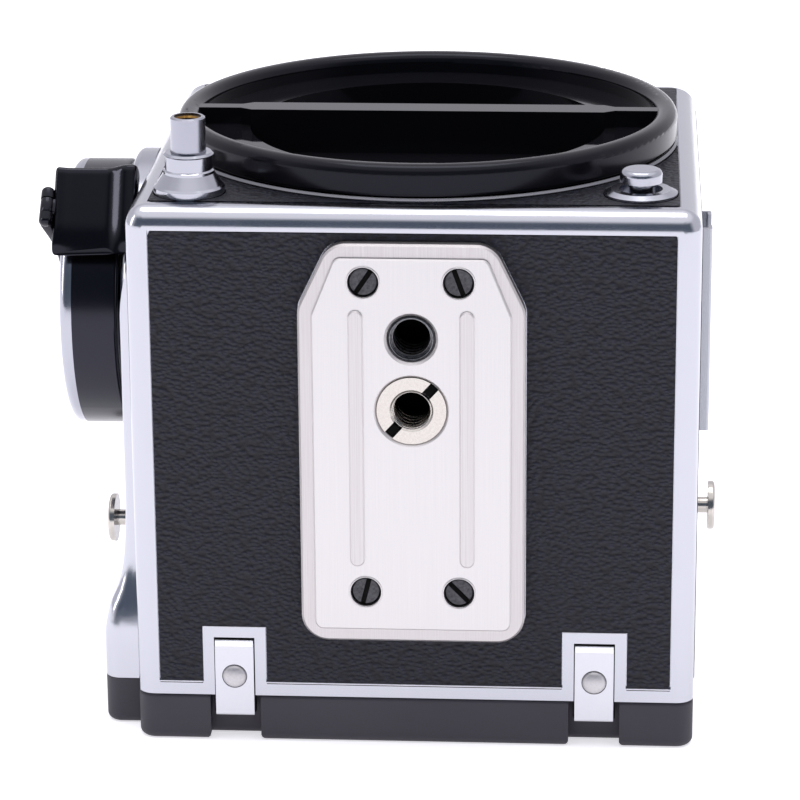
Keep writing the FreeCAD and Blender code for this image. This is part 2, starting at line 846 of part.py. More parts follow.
def make_rear_cover():
    high = rear_plane - cover_front_gap
    cover = cover_outline(0, high)
    cover = cover.makeFillet(cover_back_round, edges_at(cover, "z", 0))
    hinge_edge = [e for e in edges_at(cover, "z", high)
                  if e.BoundBox.YMax < bottom + SMALL and e.BoundBox.XLength > 1]
    cover = cover.makeFillet(cover_front_round, hinge_edge)
    w = cover_wall
    room = slab("z", -side + w, side - w, bottom + notch_depth + w, top - w, w, high + 1,
                cover_room_corner)
    cover = cover.cut(room)
    for y in (-cover_rib_y, cover_rib_y):
        cover = cover.fuse(box(-side + w - 0.1, side - w + 0.1, y - cover_rib_half,
                               y + cover_rib_half, w - 0.1, cover_rib_high))
    return cover


# Lens mount and front cap

def mount_screw_places():
    spots = []
    for n in range(mount_screws):
        turn = math.radians(90 + n * 360 / mount_screws)
        spots.append((mount_screw_circle * math.cos(turn),
                      lens_axis_y + mount_screw_circle * math.sin(turn)))
    return spots


def sector(half_angle, middle, radius, low, high):
    """A wedge about the lens axis, to cut or keep a stretch of a ring."""
    a0 = math.radians(middle - half_angle)
    a1 = math.radians(middle + half_angle)
    outline = [(0, lens_axis_y), (radius * math.cos(a0), lens_axis_y + radius * math.sin(a0)),
               (radius * math.cos(a1), lens_axis_y + radius * math.sin(a1))]
    return prism("z", outline, low, high)


def make_mount_ring():
    flange = ring("z", 0, lens_axis_y, front_plane, mount_face, mount_outer, mount_throat)
    flange = flange.makeChamfer(0.3, [e for e in edges_at(flange, "z", mount_face)
                                      if e.BoundBox.XLength > 2 * mount_throat + 2])
    sleeve = ring("z", 0, lens_axis_y, cavity_front + 0.3, front_plane + 0.1,
                  mount_sleeve_outer, mount_throat)
    body = flange.fuse(sleeve)
    lugs = ring("z", 0, lens_axis_y, mount_lug_low, mount_face, mount_throat + 0.2,
                mount_lug_inner)
    for n in range(mount_lugs):
        middle = 45 + n * 360 / mount_lugs
        wedge = sector(mount_lug_half_angle, middle, 2 * mount_outer, mount_lug_low - 1,
                       mount_face + 1)
        body = body.fuse(lugs.common(wedge))
    for x, y in mount_screw_places():
        body = body.cut(rod("z", x, y, front_plane - 1, mount_face + 1,
                            mount_screw_radius + 0.02))
    return body


def make_mount_screw(x, y):
    head = rod("z", x, y, front_plane, mount_face - 0.05, mount_screw_radius)
    shank = rod("z", x, y, cavity_front + mount_shank_end, front_plane + 0.1, mount_shank_radius)
    slot = box(x - 2, x + 2, y - 0.15, y + 0.15, mount_face - 0.35, mount_face + 1)
    slot.rotate(V(x, y, 0), V(0, 0, 1), 20 + 7 * x)
    return head.fuse(shank).cut(slot)


def make_front_cap():
    foot = mount_face + cap_seat_gap
    rim = foot + cap_undercut_high
    well = cap_rim_radius - cap_lip
    pan = cap_spigot_radius - cap_spigot_wall
    pan_floor = cap_spigot_low + cap_floor
    outline = [(0, cap_spigot_low), (cap_spigot_radius, cap_spigot_low), (cap_spigot_radius, foot),
               (cap_undercut_radius, foot), (cap_undercut_radius, rim), (cap_rim_radius, rim),
               (cap_rim_radius, cap_top),
               (well, cap_top), (well, foot + cap_floor), (pan, foot + cap_floor),
               (pan, pan_floor), (0, pan_floor)]
    cap = lathe(outline, 0, lens_axis_y)
    cap = cap.makeFillet(cap_brim_round, edges_at(cap, "z", cap_top))
    lugs = ring("z", 0, lens_axis_y, cap_spigot_low, cap_spigot_low + cap_lug_thick,
                cap_lug_radius, cap_spigot_radius - 0.3)
    for n in range(mount_lugs):
        middle = n * 360 / mount_lugs
        wedge = sector(cap_lug_half_angle, middle, 2 * mount_outer, cap_spigot_low - 1,
                       cap_spigot_low + cap_lug_thick + 1)
        cap = cap.fuse(lugs.common(wedge))
    wide = bar_width / 2
    neck = bar_neck_width / 2
    end = well + 0.4
    y = lens_axis_y
    outline = [(-end, y - neck), (-bar_half_length - bar_taper, y - neck),
               (-bar_half_length, y - wide), (bar_half_length, y - wide),
               (bar_half_length + bar_taper, y - neck), (end, y - neck), (end, y + neck),
               (bar_half_length + bar_taper, y + neck), (bar_half_length, y + wide),
               (-bar_half_length, y + wide), (-bar_half_length - bar_taper, y + neck),
               (-end, y + neck)]
    web = prism("z", outline, pan_floor - 0.2, foot + cap_floor)
    web = web.common(rod("z", 0, y, pan_floor - 1, foot + cap_floor + 1, pan + 0.2))
    bar = prism("z", outline, foot + cap_floor - 0.2, cap_top - bar_top_drop)
    return cap.fuse(web).fuse(bar)


# Front buttons

def make_release_escutcheon():
    z0 = front_plane
    z1 = z0 + release_flange_thick
    z2 = z1 + release_cone_high
    z3 = z2 + release_collar_high
    bore = release_tube_radius + button_gap
    r = release_flange_radius
    c = release_collar_radius
    outline = [(bore, z0 - leather_depth), (r, z0 - leather_depth), (r, z1 - 0.3), (r - 0.3, z1),
               (c + 0.25, z2), (c + 0.25, z2 + 0.35), (c, z2 + 0.55), (c, z3 - 0.5),
               (c + 0.2, z3 - 0.3), (c - 0.1, z3), (bore, z3)]
    return lathe(outline, release_x, release_y)


def release_top():
    return (front_plane + release_flange_thick + release_cone_high + release_collar_high
            + release_tube_high)


def make_release_button():
    z0 = front_plane - release_stem_deep
    z1 = release_top()
    r = release_tube_radius
    i = release_insert_radius
    outline = [(0, z0), (r, z0), (r, z1 - 0.2), (r - 0.2, z1), (i, z1),
               (i, z1 - release_insert_deep), (0, z1 - release_insert_deep)]
    return lathe(outline, release_x, release_y)


def make_release_thread():
    z1 = release_top() - 0.35
    z0 = release_top() - release_insert_deep
    i = release_insert_radius
    t = release_thread_radius
    outline = [(t, z0), (i, z0), (i, z1), (t + 0.25, z1), (t, z1 - 0.25)]
    return lathe(outline, release_x, release_y)


def make_lock_escutcheon():
    z0 = front_plane
    z1 = z0 + lock_flange_thick
    bore = lock_button_radius + button_gap
    r = lock_flange_radius
    outline = [(lock_stem_radius + button_gap, z0 - leather_depth), (r, z0 - leather_depth),
               (r, z1 - 0.45), (r - 0.9, z1), (bore, z1), (bore, z0), (lock_stem_radius
               + button_gap, z0)]
    return lathe(outline, lock_x, lock_y)


def make_lock_button():
    z1 = front_plane + lock_flange_thick + lock_button_high
    head_low = front_plane + lock_travel + 0.15
    head = rod("z", lock_x, lock_y, head_low, z1, lock_button_radius)
    head = head.makeFillet(0.8, edges_at(head, "z", z1))
    return head.fuse(rod("z", lock_x, lock_y, front_plane - lock_stem_deep, head_low + 0.2,
                         lock_stem_radius))


# Winding crank. Its moving pieces are drawn with the arm along +Y and then turned into place.

def turned(shape):
    shape.rotate(V(0, 0, 0), V(1, 0, 0), 180 - grip_angle)
    shape.translate(V(0, crank_y, crank_z))
    return shape


def make_crank_boss():
    boss = rod("x", crank_y, crank_z, boss_face, -side, boss_radius)
    boss = boss.makeFillet(1.0, edges_at(boss, "x", boss_face))
    boss = boss.fuse(rod("x", crank_y, crank_z, neck_face, boss_face + 0.1, boss_neck_radius))
    return boss.cut(rod("x", crank_y, crank_z, neck_face - 1, -side + 1,
                        shaft_radius + shaft_gap))


def make_crank_drum():
    drum = rod("x", 0, 0, drum_face, drum_back, drum_radius)
    drum = drum.makeFillet(0.5, edges_at(drum, "x", drum_back))
    drum = drum.cut(ring("x", 0, 0, drum_face - 1, drum_back - drum_wall,
                         drum_radius - drum_wall, drum_hub_radius))
    drum = drum.cut(rod("x", 0, 0, drum_face - 1, drum_back + 1, shaft_radius))
    return turned(drum)


def make_crank_rim():
    rim = ring("x", 0, 0, rim_face, drum_face, drum_radius, rim_bore)
    rim = rim.makeFillet(rim_round, [e for e in edges_at(rim, "x", rim_face)
                                     if e.BoundBox.YLength > 2 * rim_bore + 2])
    return turned(rim)


def make_crank_arm():
    """The arm, lifted off the rim at its end, with a fork for the grip's knuckle."""
    hub = rod("x", 0, 0, arm_face, rim_face, arm_hub_radius)
    hub = hub.fuse(rod("x", 0, 0, rim_face - 0.1, drum_face, rim_bore - 0.1))
    root = drum_radius - rim_round
    hub = hub.fuse(box(arm_face, rim_face, 0, root, -arm_half_width, arm_half_width))
    blade = box(arm_face, arm_back, root - 1, grip_reach + arm_thick / 2, -arm_half_width,
                arm_half_width)
    tip = [e for e in straight_edges(blade, "x") if e.BoundBox.YMin > root]
    blade = blade.makeFillet(arm_tip_round, tip)
    nose = box(arm_face, arm_back, root - 1, grip_reach, -arm_half_width, arm_half_width)
    nose = nose.fuse(rod("z", grip_pivot_x, grip_reach, -arm_half_width, arm_half_width,
                         arm_thick / 2))
    arm = hub.fuse(blade.common(nose))
    slot = knuckle_half_width + knuckle_gap
    arm = arm.cut(box(arm_face - 1, arm_back + 1, grip_reach - knuckle_radius - fork_room,
                      grip_high + 1, -slot, slot))
    arm = arm.cut(rod("z", grip_pivot_x, grip_reach, -arm_half_width - 1, arm_half_width + 1,
                      grip_pin_radius + pivot_gap))
    arm = arm.cut(rod("x", 0, 0, arm_face - 1, drum_face + 1, shaft_radius))
    return turned(arm)


def make_crank_grip():
    """A thumb-sized block whose inner side slopes away from the drum, and its knuckle."""
    w = grip_half_width
    outline = [(grip_start, grip_low), (grip_end, grip_low + grip_taper), (grip_end, grip_high),
               (grip_start, grip_high)]
    block = prism("z", outline, -w, w)
    block = block.makeFillet(grip_round, block.Edges)
    knuckle = knuckle_half_width
    neck = box(grip_pivot_x, grip_start + grip_round, grip_reach - knuckle_radius,
               grip_reach + knuckle_radius, -knuckle, knuckle)
    block = block.fuse(neck)
    block = block.fuse(rod("z", grip_pivot_x, grip_reach, -knuckle, knuckle, knuckle_radius))
    return turned(block.cut(rod("z", grip_pivot_x, grip_reach, -w, w, grip_pin_radius)))


def make_grip_pin():
    w = arm_half_width - 0.1
    return turned(rod("z", grip_pivot_x, grip_reach, -w, w, grip_pin_radius))


def make_winding_shaft():
    end = pocket_x + gear_side_gap + gear_thick + 0.3
    return turned(rod("x", 0, 0, arm_face + 0.4, end, shaft_radius))


def make_hub_screw():
    top_face = arm_face - hub_screw_high
    head = rod("x", 0, 0, top_face, arm_face - 0.01, hub_screw_radius)
    head = head.makeFillet(0.5, edges_at(head, "x", top_face))
    half = hub_screw_slot / 2
    reach = hub_screw_radius + 1
    head = head.cut(box(top_face - 1, arm_face - 0.4, -half, half, -reach, reach))
    return turned(head.fuse(rod("x", 0, 0, arm_face - 0.1, arm_face + 0.38, hub_screw_shank)))


# Winding gears

def involute(angle):
    return math.tan(angle) - angle


def tooth_half_angle(teeth, radius):
    """Half of the angle that a tooth fills at a radius, by the involute of a 20 degree tooth."""
    pitch = gear_module * teeth / 2
    base = pitch * math.cos(math.radians(20))
    at = math.acos(min(1.0, base / max(radius, base)))
    return (gear_tooth_share * math.pi / (2 * teeth) + involute(math.radians(20))
            - involute(at))


def make_gear(teeth, z, tooth_at, bore):
    pitch = gear_module * teeth / 2
    root = pitch - 1.25 * gear_module
    tip = pitch + 0.95 * gear_module
    points = []
    for n in range(teeth):
        middle = math.radians(tooth_at) + n * 2 * math.pi / teeth
        for side_of_tooth, radii in ((-1, (root, pitch, tip)), (1, (tip, pitch, root))):
            for radius in radii:
                angle = middle + side_of_tooth * tooth_half_angle(teeth, radius)
                points.append((radius * math.cos(angle), radius * math.sin(angle)))
    x0 = pocket_x + gear_side_gap
    blank = prism("x", points, x0, x0 + gear_thick)
    blank.translate(V(0, crank_y, z))
    return blank.cut(rod("x", crank_y, z, x0 - 1, x0 + gear_thick + 1, bore))


def make_gear_axle(z):
    return rod("x", crank_y, z, pocket_x - 1.5, pocket_x + gear_side_gap + gear_thick + 0.4,
               axle_radius)


# Mirror chamber and its moving pieces

def make_mirror_box():
    w = chamber_wall
    outer = box(-box_x, box_x, box_bottom, box_top, box_rear, box_front)
    room = box(-box_x + w, box_x - w, box_bottom + w, box_top + 1, box_rear + w, box_front - w)
    body = outer.cut(room)
    body = body.cut(rod("z", 0, lens_axis_y, box_front - w - 1, box_front + 1,
                        mount_sleeve_outer - 0.9))
    body = body.cut(box(-gate_half_width, gate_half_width, gate_low, gate_high, box_rear - 1,
                        box_rear + w + 1))
    body = body.cut(button_blocks(chamber_gap))
    notch = drive_radius + 1.2
    tall = drive_y + notch
    bearing = box(drive_x - notch, drive_x + notch, box_bottom + w - 0.1, tall, drive_rear + 2.0,
                  box_front - w + 0.1)
    body = body.fuse(bearing)
    body = body.cut(rod("z", drive_x, drive_y, drive_rear, drive_front + 2,
                        drive_radius + shaft_gap))
    pivots = ((mirror_pivot_y, mirror_pivot_z, pivot_pin), (upper_flap_y, flap_pivot_z, flap_pin),
              (lower_flap_y, flap_pivot_z, flap_pin))
    for y, z, radius in pivots:
        body = body.cut(rod("x", y, z, -box_x - 1, box_x + 1, radius + pivot_gap))
    return body


def pivot_reach():
    return box_x - 0.1


def tilt_mirror(shape):
    """Turn a piece drawn along +Y from the pivot to the rest angle, halfway down to the lens."""
    shape.rotate(V(0, 0, 0), V(1, 0, 0), 135)
    shape.translate(V(0, mirror_pivot_y, mirror_pivot_z))
    return shape


def make_mirror_frame():
    h = mirror_half_width
    t = mirror_tray / 2
    g = mirror_glass
    inner = box_x - chamber_wall - 0.4
    tray = box(-h, h, 0, mirror_length, -t, t)
    lip = box(-h, h, mirror_length - 1.2, mirror_length, -t - g, t)
    tray = tray.fuse(lip)
    tray = tray.fuse(rod("x", 0, 0, -inner, inner, mirror_barrel))
    tray = tray.fuse(rod("x", 0, 0, -pivot_reach(), pivot_reach(), pivot_pin))
    return tilt_mirror(tray)


def make_mirror():
    t = mirror_tray / 2
    h = mirror_half_width - 0.5
    glass = box(-h, h, 1.8, mirror_length - 1.3, -t - mirror_glass, -t)
    return tilt_mirror(glass)


def make_flap(pivot_y, end_y):
    low, high = sorted((pivot_y, end_y))
    inner = box_x - chamber_wall - 0.4
    half = flap_thick / 2
    leaf = box(-flap_half_width, flap_half_width, low, high, flap_pivot_z - half,
               flap_pivot_z + half)
    leaf = leaf.fuse(rod("x", pivot_y, flap_pivot_z, -inner, inner, flap_barrel))
    return leaf.fuse(rod("x", pivot_y, flap_pivot_z, -pivot_reach(), pivot_reach(), flap_pin))


def make_lens_drive():
    shaft = rod("z", drive_x, drive_y, drive_rear, drive_front, drive_radius)
    shaft = shaft.makeChamfer(0.3, edges_at(shaft, "z", drive_front))
    shaft = shaft.cut(box(drive_x - 4, drive_x + 4, drive_y - drive_slot / 2,
                          drive_y + drive_slot / 2, drive_front - 1.5, drive_front + 1))
    return shaft.fuse(rod("z", drive_x, drive_y, drive_rear - 1.2, drive_rear + 1.7,
                          drive_radius + 1.0))


# Focusing screen

def make_screen_frame():
    gap = 0.1
    y0 = top - screen_frame_thick - 0.15
    y1 = y0 + screen_frame_thick
    h = screen_half_width - gap
    z0 = screen_low + gap
    z1 = screen_high - gap
    w = screen_frame_wide
    frame = slab("y", -h, h, z0, z1, y0, y1, 1.0)
    frame = frame.cut(box(-h + w, h - w, y0 - 1, y1 + 1, z0 + w, z1 - w))
    step = w - 0.8
    return frame.cut(box(-h + step, h - step, y1 - screen_glass_thick, y1 + 1, z0 + step,
                         z1 - step))


def make_focusing_screen():
    gap = 0.15
    y1 = top - 0.15
    h = screen_half_width - 0.1 - screen_frame_wide + 0.8 - 0.05
    z0 = screen_low + 0.1 + screen_frame_wide - 0.8 + 0.05
    z1 = screen_high - 0.1 - screen_frame_wide + 0.8 - 0.05
    return box(-h, h, y1 - screen_glass_thick + 0.02, y1 - gap, z0, z1)


# Folded viewfinder hood

def hood_level(rise):
    return top + rise


def hood_inner():
    return hood_half_width - hood_wall


def hood_hinges():
    """Where the three folding leaves and the lid turn: y and z, or x and y."""
    return {
        "lid": (hood_level(lid_hinge_rise), hood_high - lid_hinge_in),
        "side": (hood_inner() - side_leaf_in + 0.9, hood_level(side_leaf_rise)),
        "rear": (hood_level(rear_leaf_rise), hood_low + rear_leaf_in),
    }


def make_hood_base():
    foot = box(-hood_foot_half, hood_foot_half, hood_level(0.05), hood_level(hood_foot_thick),
               rail_low, hood_high)
    walls = box(-hood_half_width, hood_half_width, hood_level(hood_foot_thick - 0.1),
                hood_level(hood_wall_top), hood_low, hood_high)
    base = foot.fuse(walls)
    i = hood_inner()
    base = base.cut(box(-i, i, hood_level(hood_foot_thick), hood_level(hood_wall_top + 1),
                        hood_low + hood_wall, hood_high - hood_wall))
    w = hood_window_half
    base = base.cut(box(-w, w, hood_level(-1), hood_level(hood_foot_thick + 1), hood_window_low,
                        hood_window_high))
    y, z = hood_hinges()["lid"]
    for sign in (-1, 1):
        x0, x1 = sorted((sign * i, sign * hood_half_width))
        ear = box(x0, x1, hood_level(hood_wall_top - 0.1), y, z - 1.2, z + 1.2)
        base = base.fuse(ear).fuse(rod("x", y, z, x0, x1, 1.2))
        base = base.cut(rod("x", y, z, x0 - 0.5, x1 + 0.5, leaf_pin + pivot_gap))
    y, z = hood_hinges()["rear"]
    base = base.cut(rod("x", y, z, -hood_half_width - 1, hood_half_width + 1,
                        leaf_pin + pivot_gap))
    x, y = hood_hinges()["side"]
    for sign in (-1, 1):
        base = base.cut(rod("z", sign * x, y, hood_low - 1, hood_high + 1, leaf_pin + pivot_gap))
    return base


def make_hood_lid():
    y, z = hood_hinges()["lid"]
    i = hood_inner() - 0.15
    plate_low_y = hood_level(lid_plate_rise)
    plate_high_y = plate_low_y + lid_thick
    full = slab("y", -hood_half_width, hood_half_width, hood_low, z - lid_ear_gap, plate_low_y,
                plate_high_y, 1.0)
    lid = full.fuse(box(-i, i, plate_low_y, plate_high_y, z - lid_tongue, z))
    hump = slab("y", -lid_hump_half, lid_hump_half, lid_hump_low, lid_hump_high,
                plate_high_y - 0.1, plate_high_y + lid_hump, 3.0)
    hump = hump.makeFillet(1.2, edges_at(hump, "y", plate_high_y + lid_hump))
    lid = lid.fuse(hump)
    lid = lid.fuse(rod("x", y, z, -i, i, leaf_barrel + 0.1))
    lid = lid.fuse(rod("x", y, z, -hood_half_width, hood_half_width, leaf_pin))
    return lid.cut(rod("y", 0, lens_z, plate_low_y - 1, plate_high_y + 1.5, lens_radius))


def make_magnifier():
    """A loupe lens, held in the underside of the lid's hump."""
    low = hood_level(lid_plate_rise) + 0.1
    return rod("y", 0, lens_z, low, low + lens_thick, lens_radius - 0.02)


def make_side_leaf(sign):
    """A side leaf, with its front corner mitred so that it stays under the lid as both rise."""
    x, y = hood_hinges()["side"]
    half = leaf_thick / 2
    lid_z = hood_hinges()["lid"][1]
    reach = x - leaf_gap
    z_low = hood_low + hood_wall + 0.6
    z_high = hood_high - hood_wall - 1.4
    start = lid_z - mitre_gap - 1.0
    outline = [(x, y, z_low), (x - reach, y, z_low), (x - reach, y, start - reach),
               (x - (start - z_high), y, z_high), (x, y, z_high)]
    points = [V(p[0], p[1] - half, p[2]) for p in outline]
    leaf = Part.Face(Part.makePolygon(points + [points[0]])).extrude(V(0, leaf_thick, 0))
    leaf = leaf.fuse(rod("z", x, y, z_low, z_high, leaf_barrel))
    leaf = leaf.fuse(rod("z", x, y, hood_low, hood_high, leaf_pin))
    return leaf if sign > 0 else mirrored(leaf)


def make_rear_leaf():
    y, z = hood_hinges()["rear"]
    half = leaf_thick / 2
    wide = hood_hinges()["side"][0] - mitre_gap - 0.6
    narrow = wide - rear_leaf_length
    points = [V(-wide, y - half, z), V(wide, y - half, z),
              V(narrow, y - half, z + rear_leaf_length),
              V(-narrow, y - half, z + rear_leaf_length)]
    leaf = Part.Face(Part.makePolygon(points + [points[0]])).extrude(V(0, leaf_thick, 0))
    leaf = leaf.fuse(rod("x", y, z, -wide, wide, leaf_barrel))
    return leaf.fuse(rod("x", y, z, -hood_half_width, hood_half_width, leaf_pin))


# Strap lugs and accessory rail

def make_lug(foot, z, sign):
    """A mushroom stud for the strap, on a side of the body."""
    levels = [foot - sign * lug_root * 0.9, foot + sign * (lug_collar_high + lug_post_high)]
    post = rod("x", 0, z, min(levels), max(levels), lug_post_radius)
    levels = [foot + sign * 0.03, foot + sign * lug_collar_high]
    collar = rod("x", 0, z, min(levels), max(levels), lug_collar_radius)
    face = foot + sign * (lug_collar_high + lug_post_high + lug_head_thick)
    levels = [face - sign * lug_head_thick, face]
    head = rod("x", 0, z, min(levels), max(levels), lug_head_radius)
    head = head.makeFillet(0.45, edges_at(head, "x", face))
    return post.fuse(collar).fuse(head)


def rail_screw_places():
    return [rail_bottom + rail_screw_inset, rail_top - rail_screw_inset]


def make_accessory_rail():
    """A channel whose two lips hold an accessory's foot."""
    x0 = side - leather_depth
    x1 = side + rail_floor
    x2 = side + rail_high_side
    x3 = x2 - rail_lip_deep
    h = rail_half
    i = h - rail_wall
    lip = i - rail_lip_reach
    outline = [(x0, -h), (x2 - 0.3, -h), (x2, -h + 0.3), (x2, -lip), (x3, -lip), (x3, -i),
               (x1, -i), (x1, i), (x3, i), (x3, lip), (x2, lip), (x2, h - 0.3), (x2 - 0.3, h),
               (x0, h)]
    rail = prism("z", outline, rail_bottom, rail_top)
    for z in rail_screw_places():
        rail = rail.cut(rod("x", 0, z, x0 - 1, x2 + 1, rail_screw_shank + 0.02))
        rail = rail.cut(rod("x", 0, z, x1 - rail_screw_head, x1 + 1, rail_screw_radius + 0.02))
    return rail


def make_rail_screw(z):
    x1 = side + rail_floor
    head = rod("x", 0, z, x1 - rail_screw_head, x1, rail_screw_radius)
    head = head.cut(box(x1 - 0.3, x1 + 1, -3, 3, z - 0.2, z + 0.2))
    return head.fuse(rod("x", 0, z, side - 3.8, x1 - rail_screw_head + 0.1, rail_screw_shank))


# Write every node

save("body_shell", make_body_shell())
save("bottom_leather", make_bottom_leather())
save("left_leather", make_left_leather())
save("right_leather", make_right_leather())
save("front_leather", make_front_leather())

save("tripod_plate", make_tripod_plate())
save("thread_insert", make_thread_insert())
save("plate_screws", *[make_plate_screw(sign, row) for sign in (-1, 1)
                       for row in range(len(screw_rows))])

for label, spot in zip(("right", "left"), hook_places()):
    save("cover_hook_" + label, make_hook(spot))
save("hook_rivets", *[make_rivet(spot) for spot in hook_places()])
save("rear_cover", make_rear_cover())

save("lens_mount_ring", make_mount_ring())
save("mount_screws", *[make_mount_screw(x, y) for x, y in mount_screw_places()])
save("front_cap", make_front_cap())

save("release_escutcheon", make_release_escutcheon())
save("release_button", make_release_button())
save("release_thread", make_release_thread())
save("lens_lock_escutcheon", make_lock_escutcheon())
save("lens_lock_button", make_lock_button())

save("crank_boss", make_crank_boss())
save("crank_drum", make_crank_drum())
save("crank_rim", make_crank_rim())
save("crank_arm", make_crank_arm())
save("crank_grip", make_crank_grip())
save("grip_pin", make_grip_pin())
save("crank_hub_screw", make_hub_screw())
save("winding_shaft", make_winding_shaft())

save("winding_gear", make_gear(winding_teeth, crank_z, -90, shaft_radius))
save("idler_gear", make_gear(idler_teeth, idler_z, 90 + 180 / idler_teeth,
                             axle_radius + gear_bearing_gap))
save("magazine_gear", make_gear(magazine_teeth, magazine_z, 90,
                                axle_radius + gear_bearing_gap))
save("gear_axles", make_gear_axle(idler_z), make_gear_axle(magazine_z))

save("mirror_box", make_mirror_box())
save("mirror_frame", make_mirror_frame())
save("mirror", make_mirror())
save("upper_flap", make_flap(upper_flap_y, flap_meet + flap_meet_gap))
save("lower_flap", make_flap(lower_flap_y, flap_meet))
save("lens_drive_shaft", make_lens_drive())

save("screen_frame", make_screen_frame())
save("focusing_screen", make_focusing_screen())

save("hood_base", make_hood_base())
save("hood_lid", make_hood_lid())
save("hood_magnifier", make_magnifier())
save("hood_leaf_left", make_side_leaf(1))
save("hood_leaf_right", make_side_leaf(-1))
save("hood_leaf_rear", make_rear_leaf())

save("strap_lug_left", make_lug(side, left_lug_z, 1))
save("strap_lug_right", make_lug(right_lug_foot, right_lug_z, -1))
save("accessory_rail", make_accessory_rail())
save("rail_screws", *[make_rail_screw(z) for z in rail_screw_places()])
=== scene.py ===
import math

import bpy
from mathutils import Matrix, Vector


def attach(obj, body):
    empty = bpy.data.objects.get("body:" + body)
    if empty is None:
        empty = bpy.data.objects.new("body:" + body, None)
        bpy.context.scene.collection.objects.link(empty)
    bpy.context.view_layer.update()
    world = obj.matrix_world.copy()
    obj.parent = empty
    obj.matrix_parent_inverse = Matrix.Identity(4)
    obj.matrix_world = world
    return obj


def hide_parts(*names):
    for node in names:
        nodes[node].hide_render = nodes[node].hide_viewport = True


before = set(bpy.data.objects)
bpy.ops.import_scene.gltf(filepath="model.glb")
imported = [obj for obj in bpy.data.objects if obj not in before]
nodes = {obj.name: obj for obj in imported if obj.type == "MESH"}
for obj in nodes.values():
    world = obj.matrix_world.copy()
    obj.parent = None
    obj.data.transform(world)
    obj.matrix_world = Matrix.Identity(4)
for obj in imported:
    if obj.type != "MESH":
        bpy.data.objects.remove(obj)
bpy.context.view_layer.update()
print("stage: frame loaded,", len(nodes), "nodes")


# Small helpers for materials

def linearColour(hexCode):
    parts = [int(hexCode[i:i + 2], 16) / 255 for i in (1, 3, 5)]
    straight = [c / 12.92 if c <= 0.04045 else ((c + 0.055) / 1.055) ** 2.4 for c in parts]
    return (*straight, 1.0)


def wire(tree, node, links):
    # what comes in is another node, whose first output is used, or one of its sockets
    for key, source in links.items():
        tree.links.new(getattr(source, "outputs", [source])[0], node.inputs[key])


def addNode(tree, kind, settings=None, links=None):
    node = tree.nodes.new(kind)
    for key, value in (settings or {}).items():
        if isinstance(key, int) or key in node.inputs:
            node.inputs[key].default_value = value
        else:
            setattr(node, key, value)
    wire(tree, node, links or {})
    return node


def startMaterial(name, look):
    # look holds the shader's own sockets, with colours as sRGB hex codes
    material = bpy.data.materials.new(name)
    material.use_nodes = True
    tree = material.node_tree
    shader = tree.nodes["Principled BSDF"]
    for key, value in look.items():
        shader.inputs[key].default_value = linearColour(value) if isinstance(value, str) else value
    return material, tree, shader


def patternPlace(tree, perMetre=(1, 1, 1), turnRad=(0, 0, 0)):
    # where a pattern lies on the piece, and how many of its cells go into a metre on each axis
    place = addNode(tree, "ShaderNodeTexCoord").outputs["Object"]
    return addNode(tree, "ShaderNodeMapping", {"Scale": perMetre, "Rotation": turnRad},
                   {"Vector": place})


# A noise node's values crowd round the middle, so only this part of them is spread out
noiseMiddle = {"From Min": 0.3, "From Max": 0.7}

# A Mix node's sockets for colours, as it has a set of them for each kind of value
mixFirst, mixSecond, mixResult = 6, 7, 2


# Decorative chrome: a bright, faintly blue mirror, softened in wide patches by years of polishing,
# with hairline scratches. Those are drawn a quarter of a millimetre wide, so that they show.
chromes = {
    # the cast body, blasted before it was plated: a soft mirror
    "satin_chrome_plate": {"hex": "#B9BAC2", "rough": (0.15, 0.22), "scratchUm": 6},
    # the mount ring: blasted coarser, so duller, and its colour painted darker as painted shade
    "chrome_ring_painted_shade": {"hex": "#77777D", "rough": (0.22, 0.3), "scratchUm": 6},
    # the release button, dulled by fingers
    "satin_chrome_buttons": {"hex": "#A3A4AE", "rough": (0.2, 0.28), "scratchUm": 4},
    # trim, polished before it was plated: it mirrors more sharply
    "polished_chrome_plate": {"hex": "#ACADB6", "rough": (0.13, 0.2), "scratchUm": 3},
    # silver on the front of glass: a true mirror with next to no haze
    "front_silvered_mirror": {"hex": "#EEF0F2", "rough": (0.01, 0.04), "scratchUm": 0.5},
}
chromeWear = {"hazeMm": 9.0, "scratchMm": 0.25}


def makeChrome(name):
    look = chromes[name]
    material, tree, shader = startMaterial(name, {"Base Color": look["hex"], "Metallic": 1.0})
    place = patternPlace(tree)
    haze = addNode(tree, "ShaderNodeTexNoise", {"Scale": 1000 / chromeWear["hazeMm"],
                                                "Detail": 4.0, "Roughness": 0.6},
                   {"Vector": place})
    scratch = addNode(tree, "ShaderNodeTexNoise", {"Scale": 1000 / chromeWear["scratchMm"],
                                                   "Detail": 2.0}, {"Vector": place})
    dull = addNode(tree, "ShaderNodeMapRange", {**noiseMiddle, "To Min": look["rough"][0],
                                                "To Max": look["rough"][1]}, {"Value": haze})
    relief = addNode(tree, "ShaderNodeBump", {"Strength": 0.3,
                                              "Distance": look["scratchUm"] / 1e6},
                     {"Height": scratch})
    wire(tree, shader, {"Roughness": dull, "Normal": relief})
    return material


satinChrome = makeChrome("satin_chrome_plate")
shadedRingChrome = makeChrome("chrome_ring_painted_shade")
buttonChrome = makeChrome("satin_chrome_buttons")
brightChrome = makeChrome("polished_chrome_plate")
mirrorSilver = makeChrome("front_silvered_mirror")


# Leatherette, PVC on cloth with a rolled grain, glued into the panels: soft pebbles that are wider
# than high and lean a little, with fine creases between that break up a dull blue-black shine
leatherLook = {"hollowShadeHex": "#0B0B13", "topLitHex": "#1D1D2D", "gloss": 0.35, "pebbleWideMm": 0.78,
               "pebbleHighMm": 0.5, "leanRad": 0.3, "wandersPerMm": 0.42, "wanderShare": 0.9,
               "creaseMm": 0.15, "creaseShare": 0.28, "reliefUm": 210, "rough": (0.42, 0.62)}


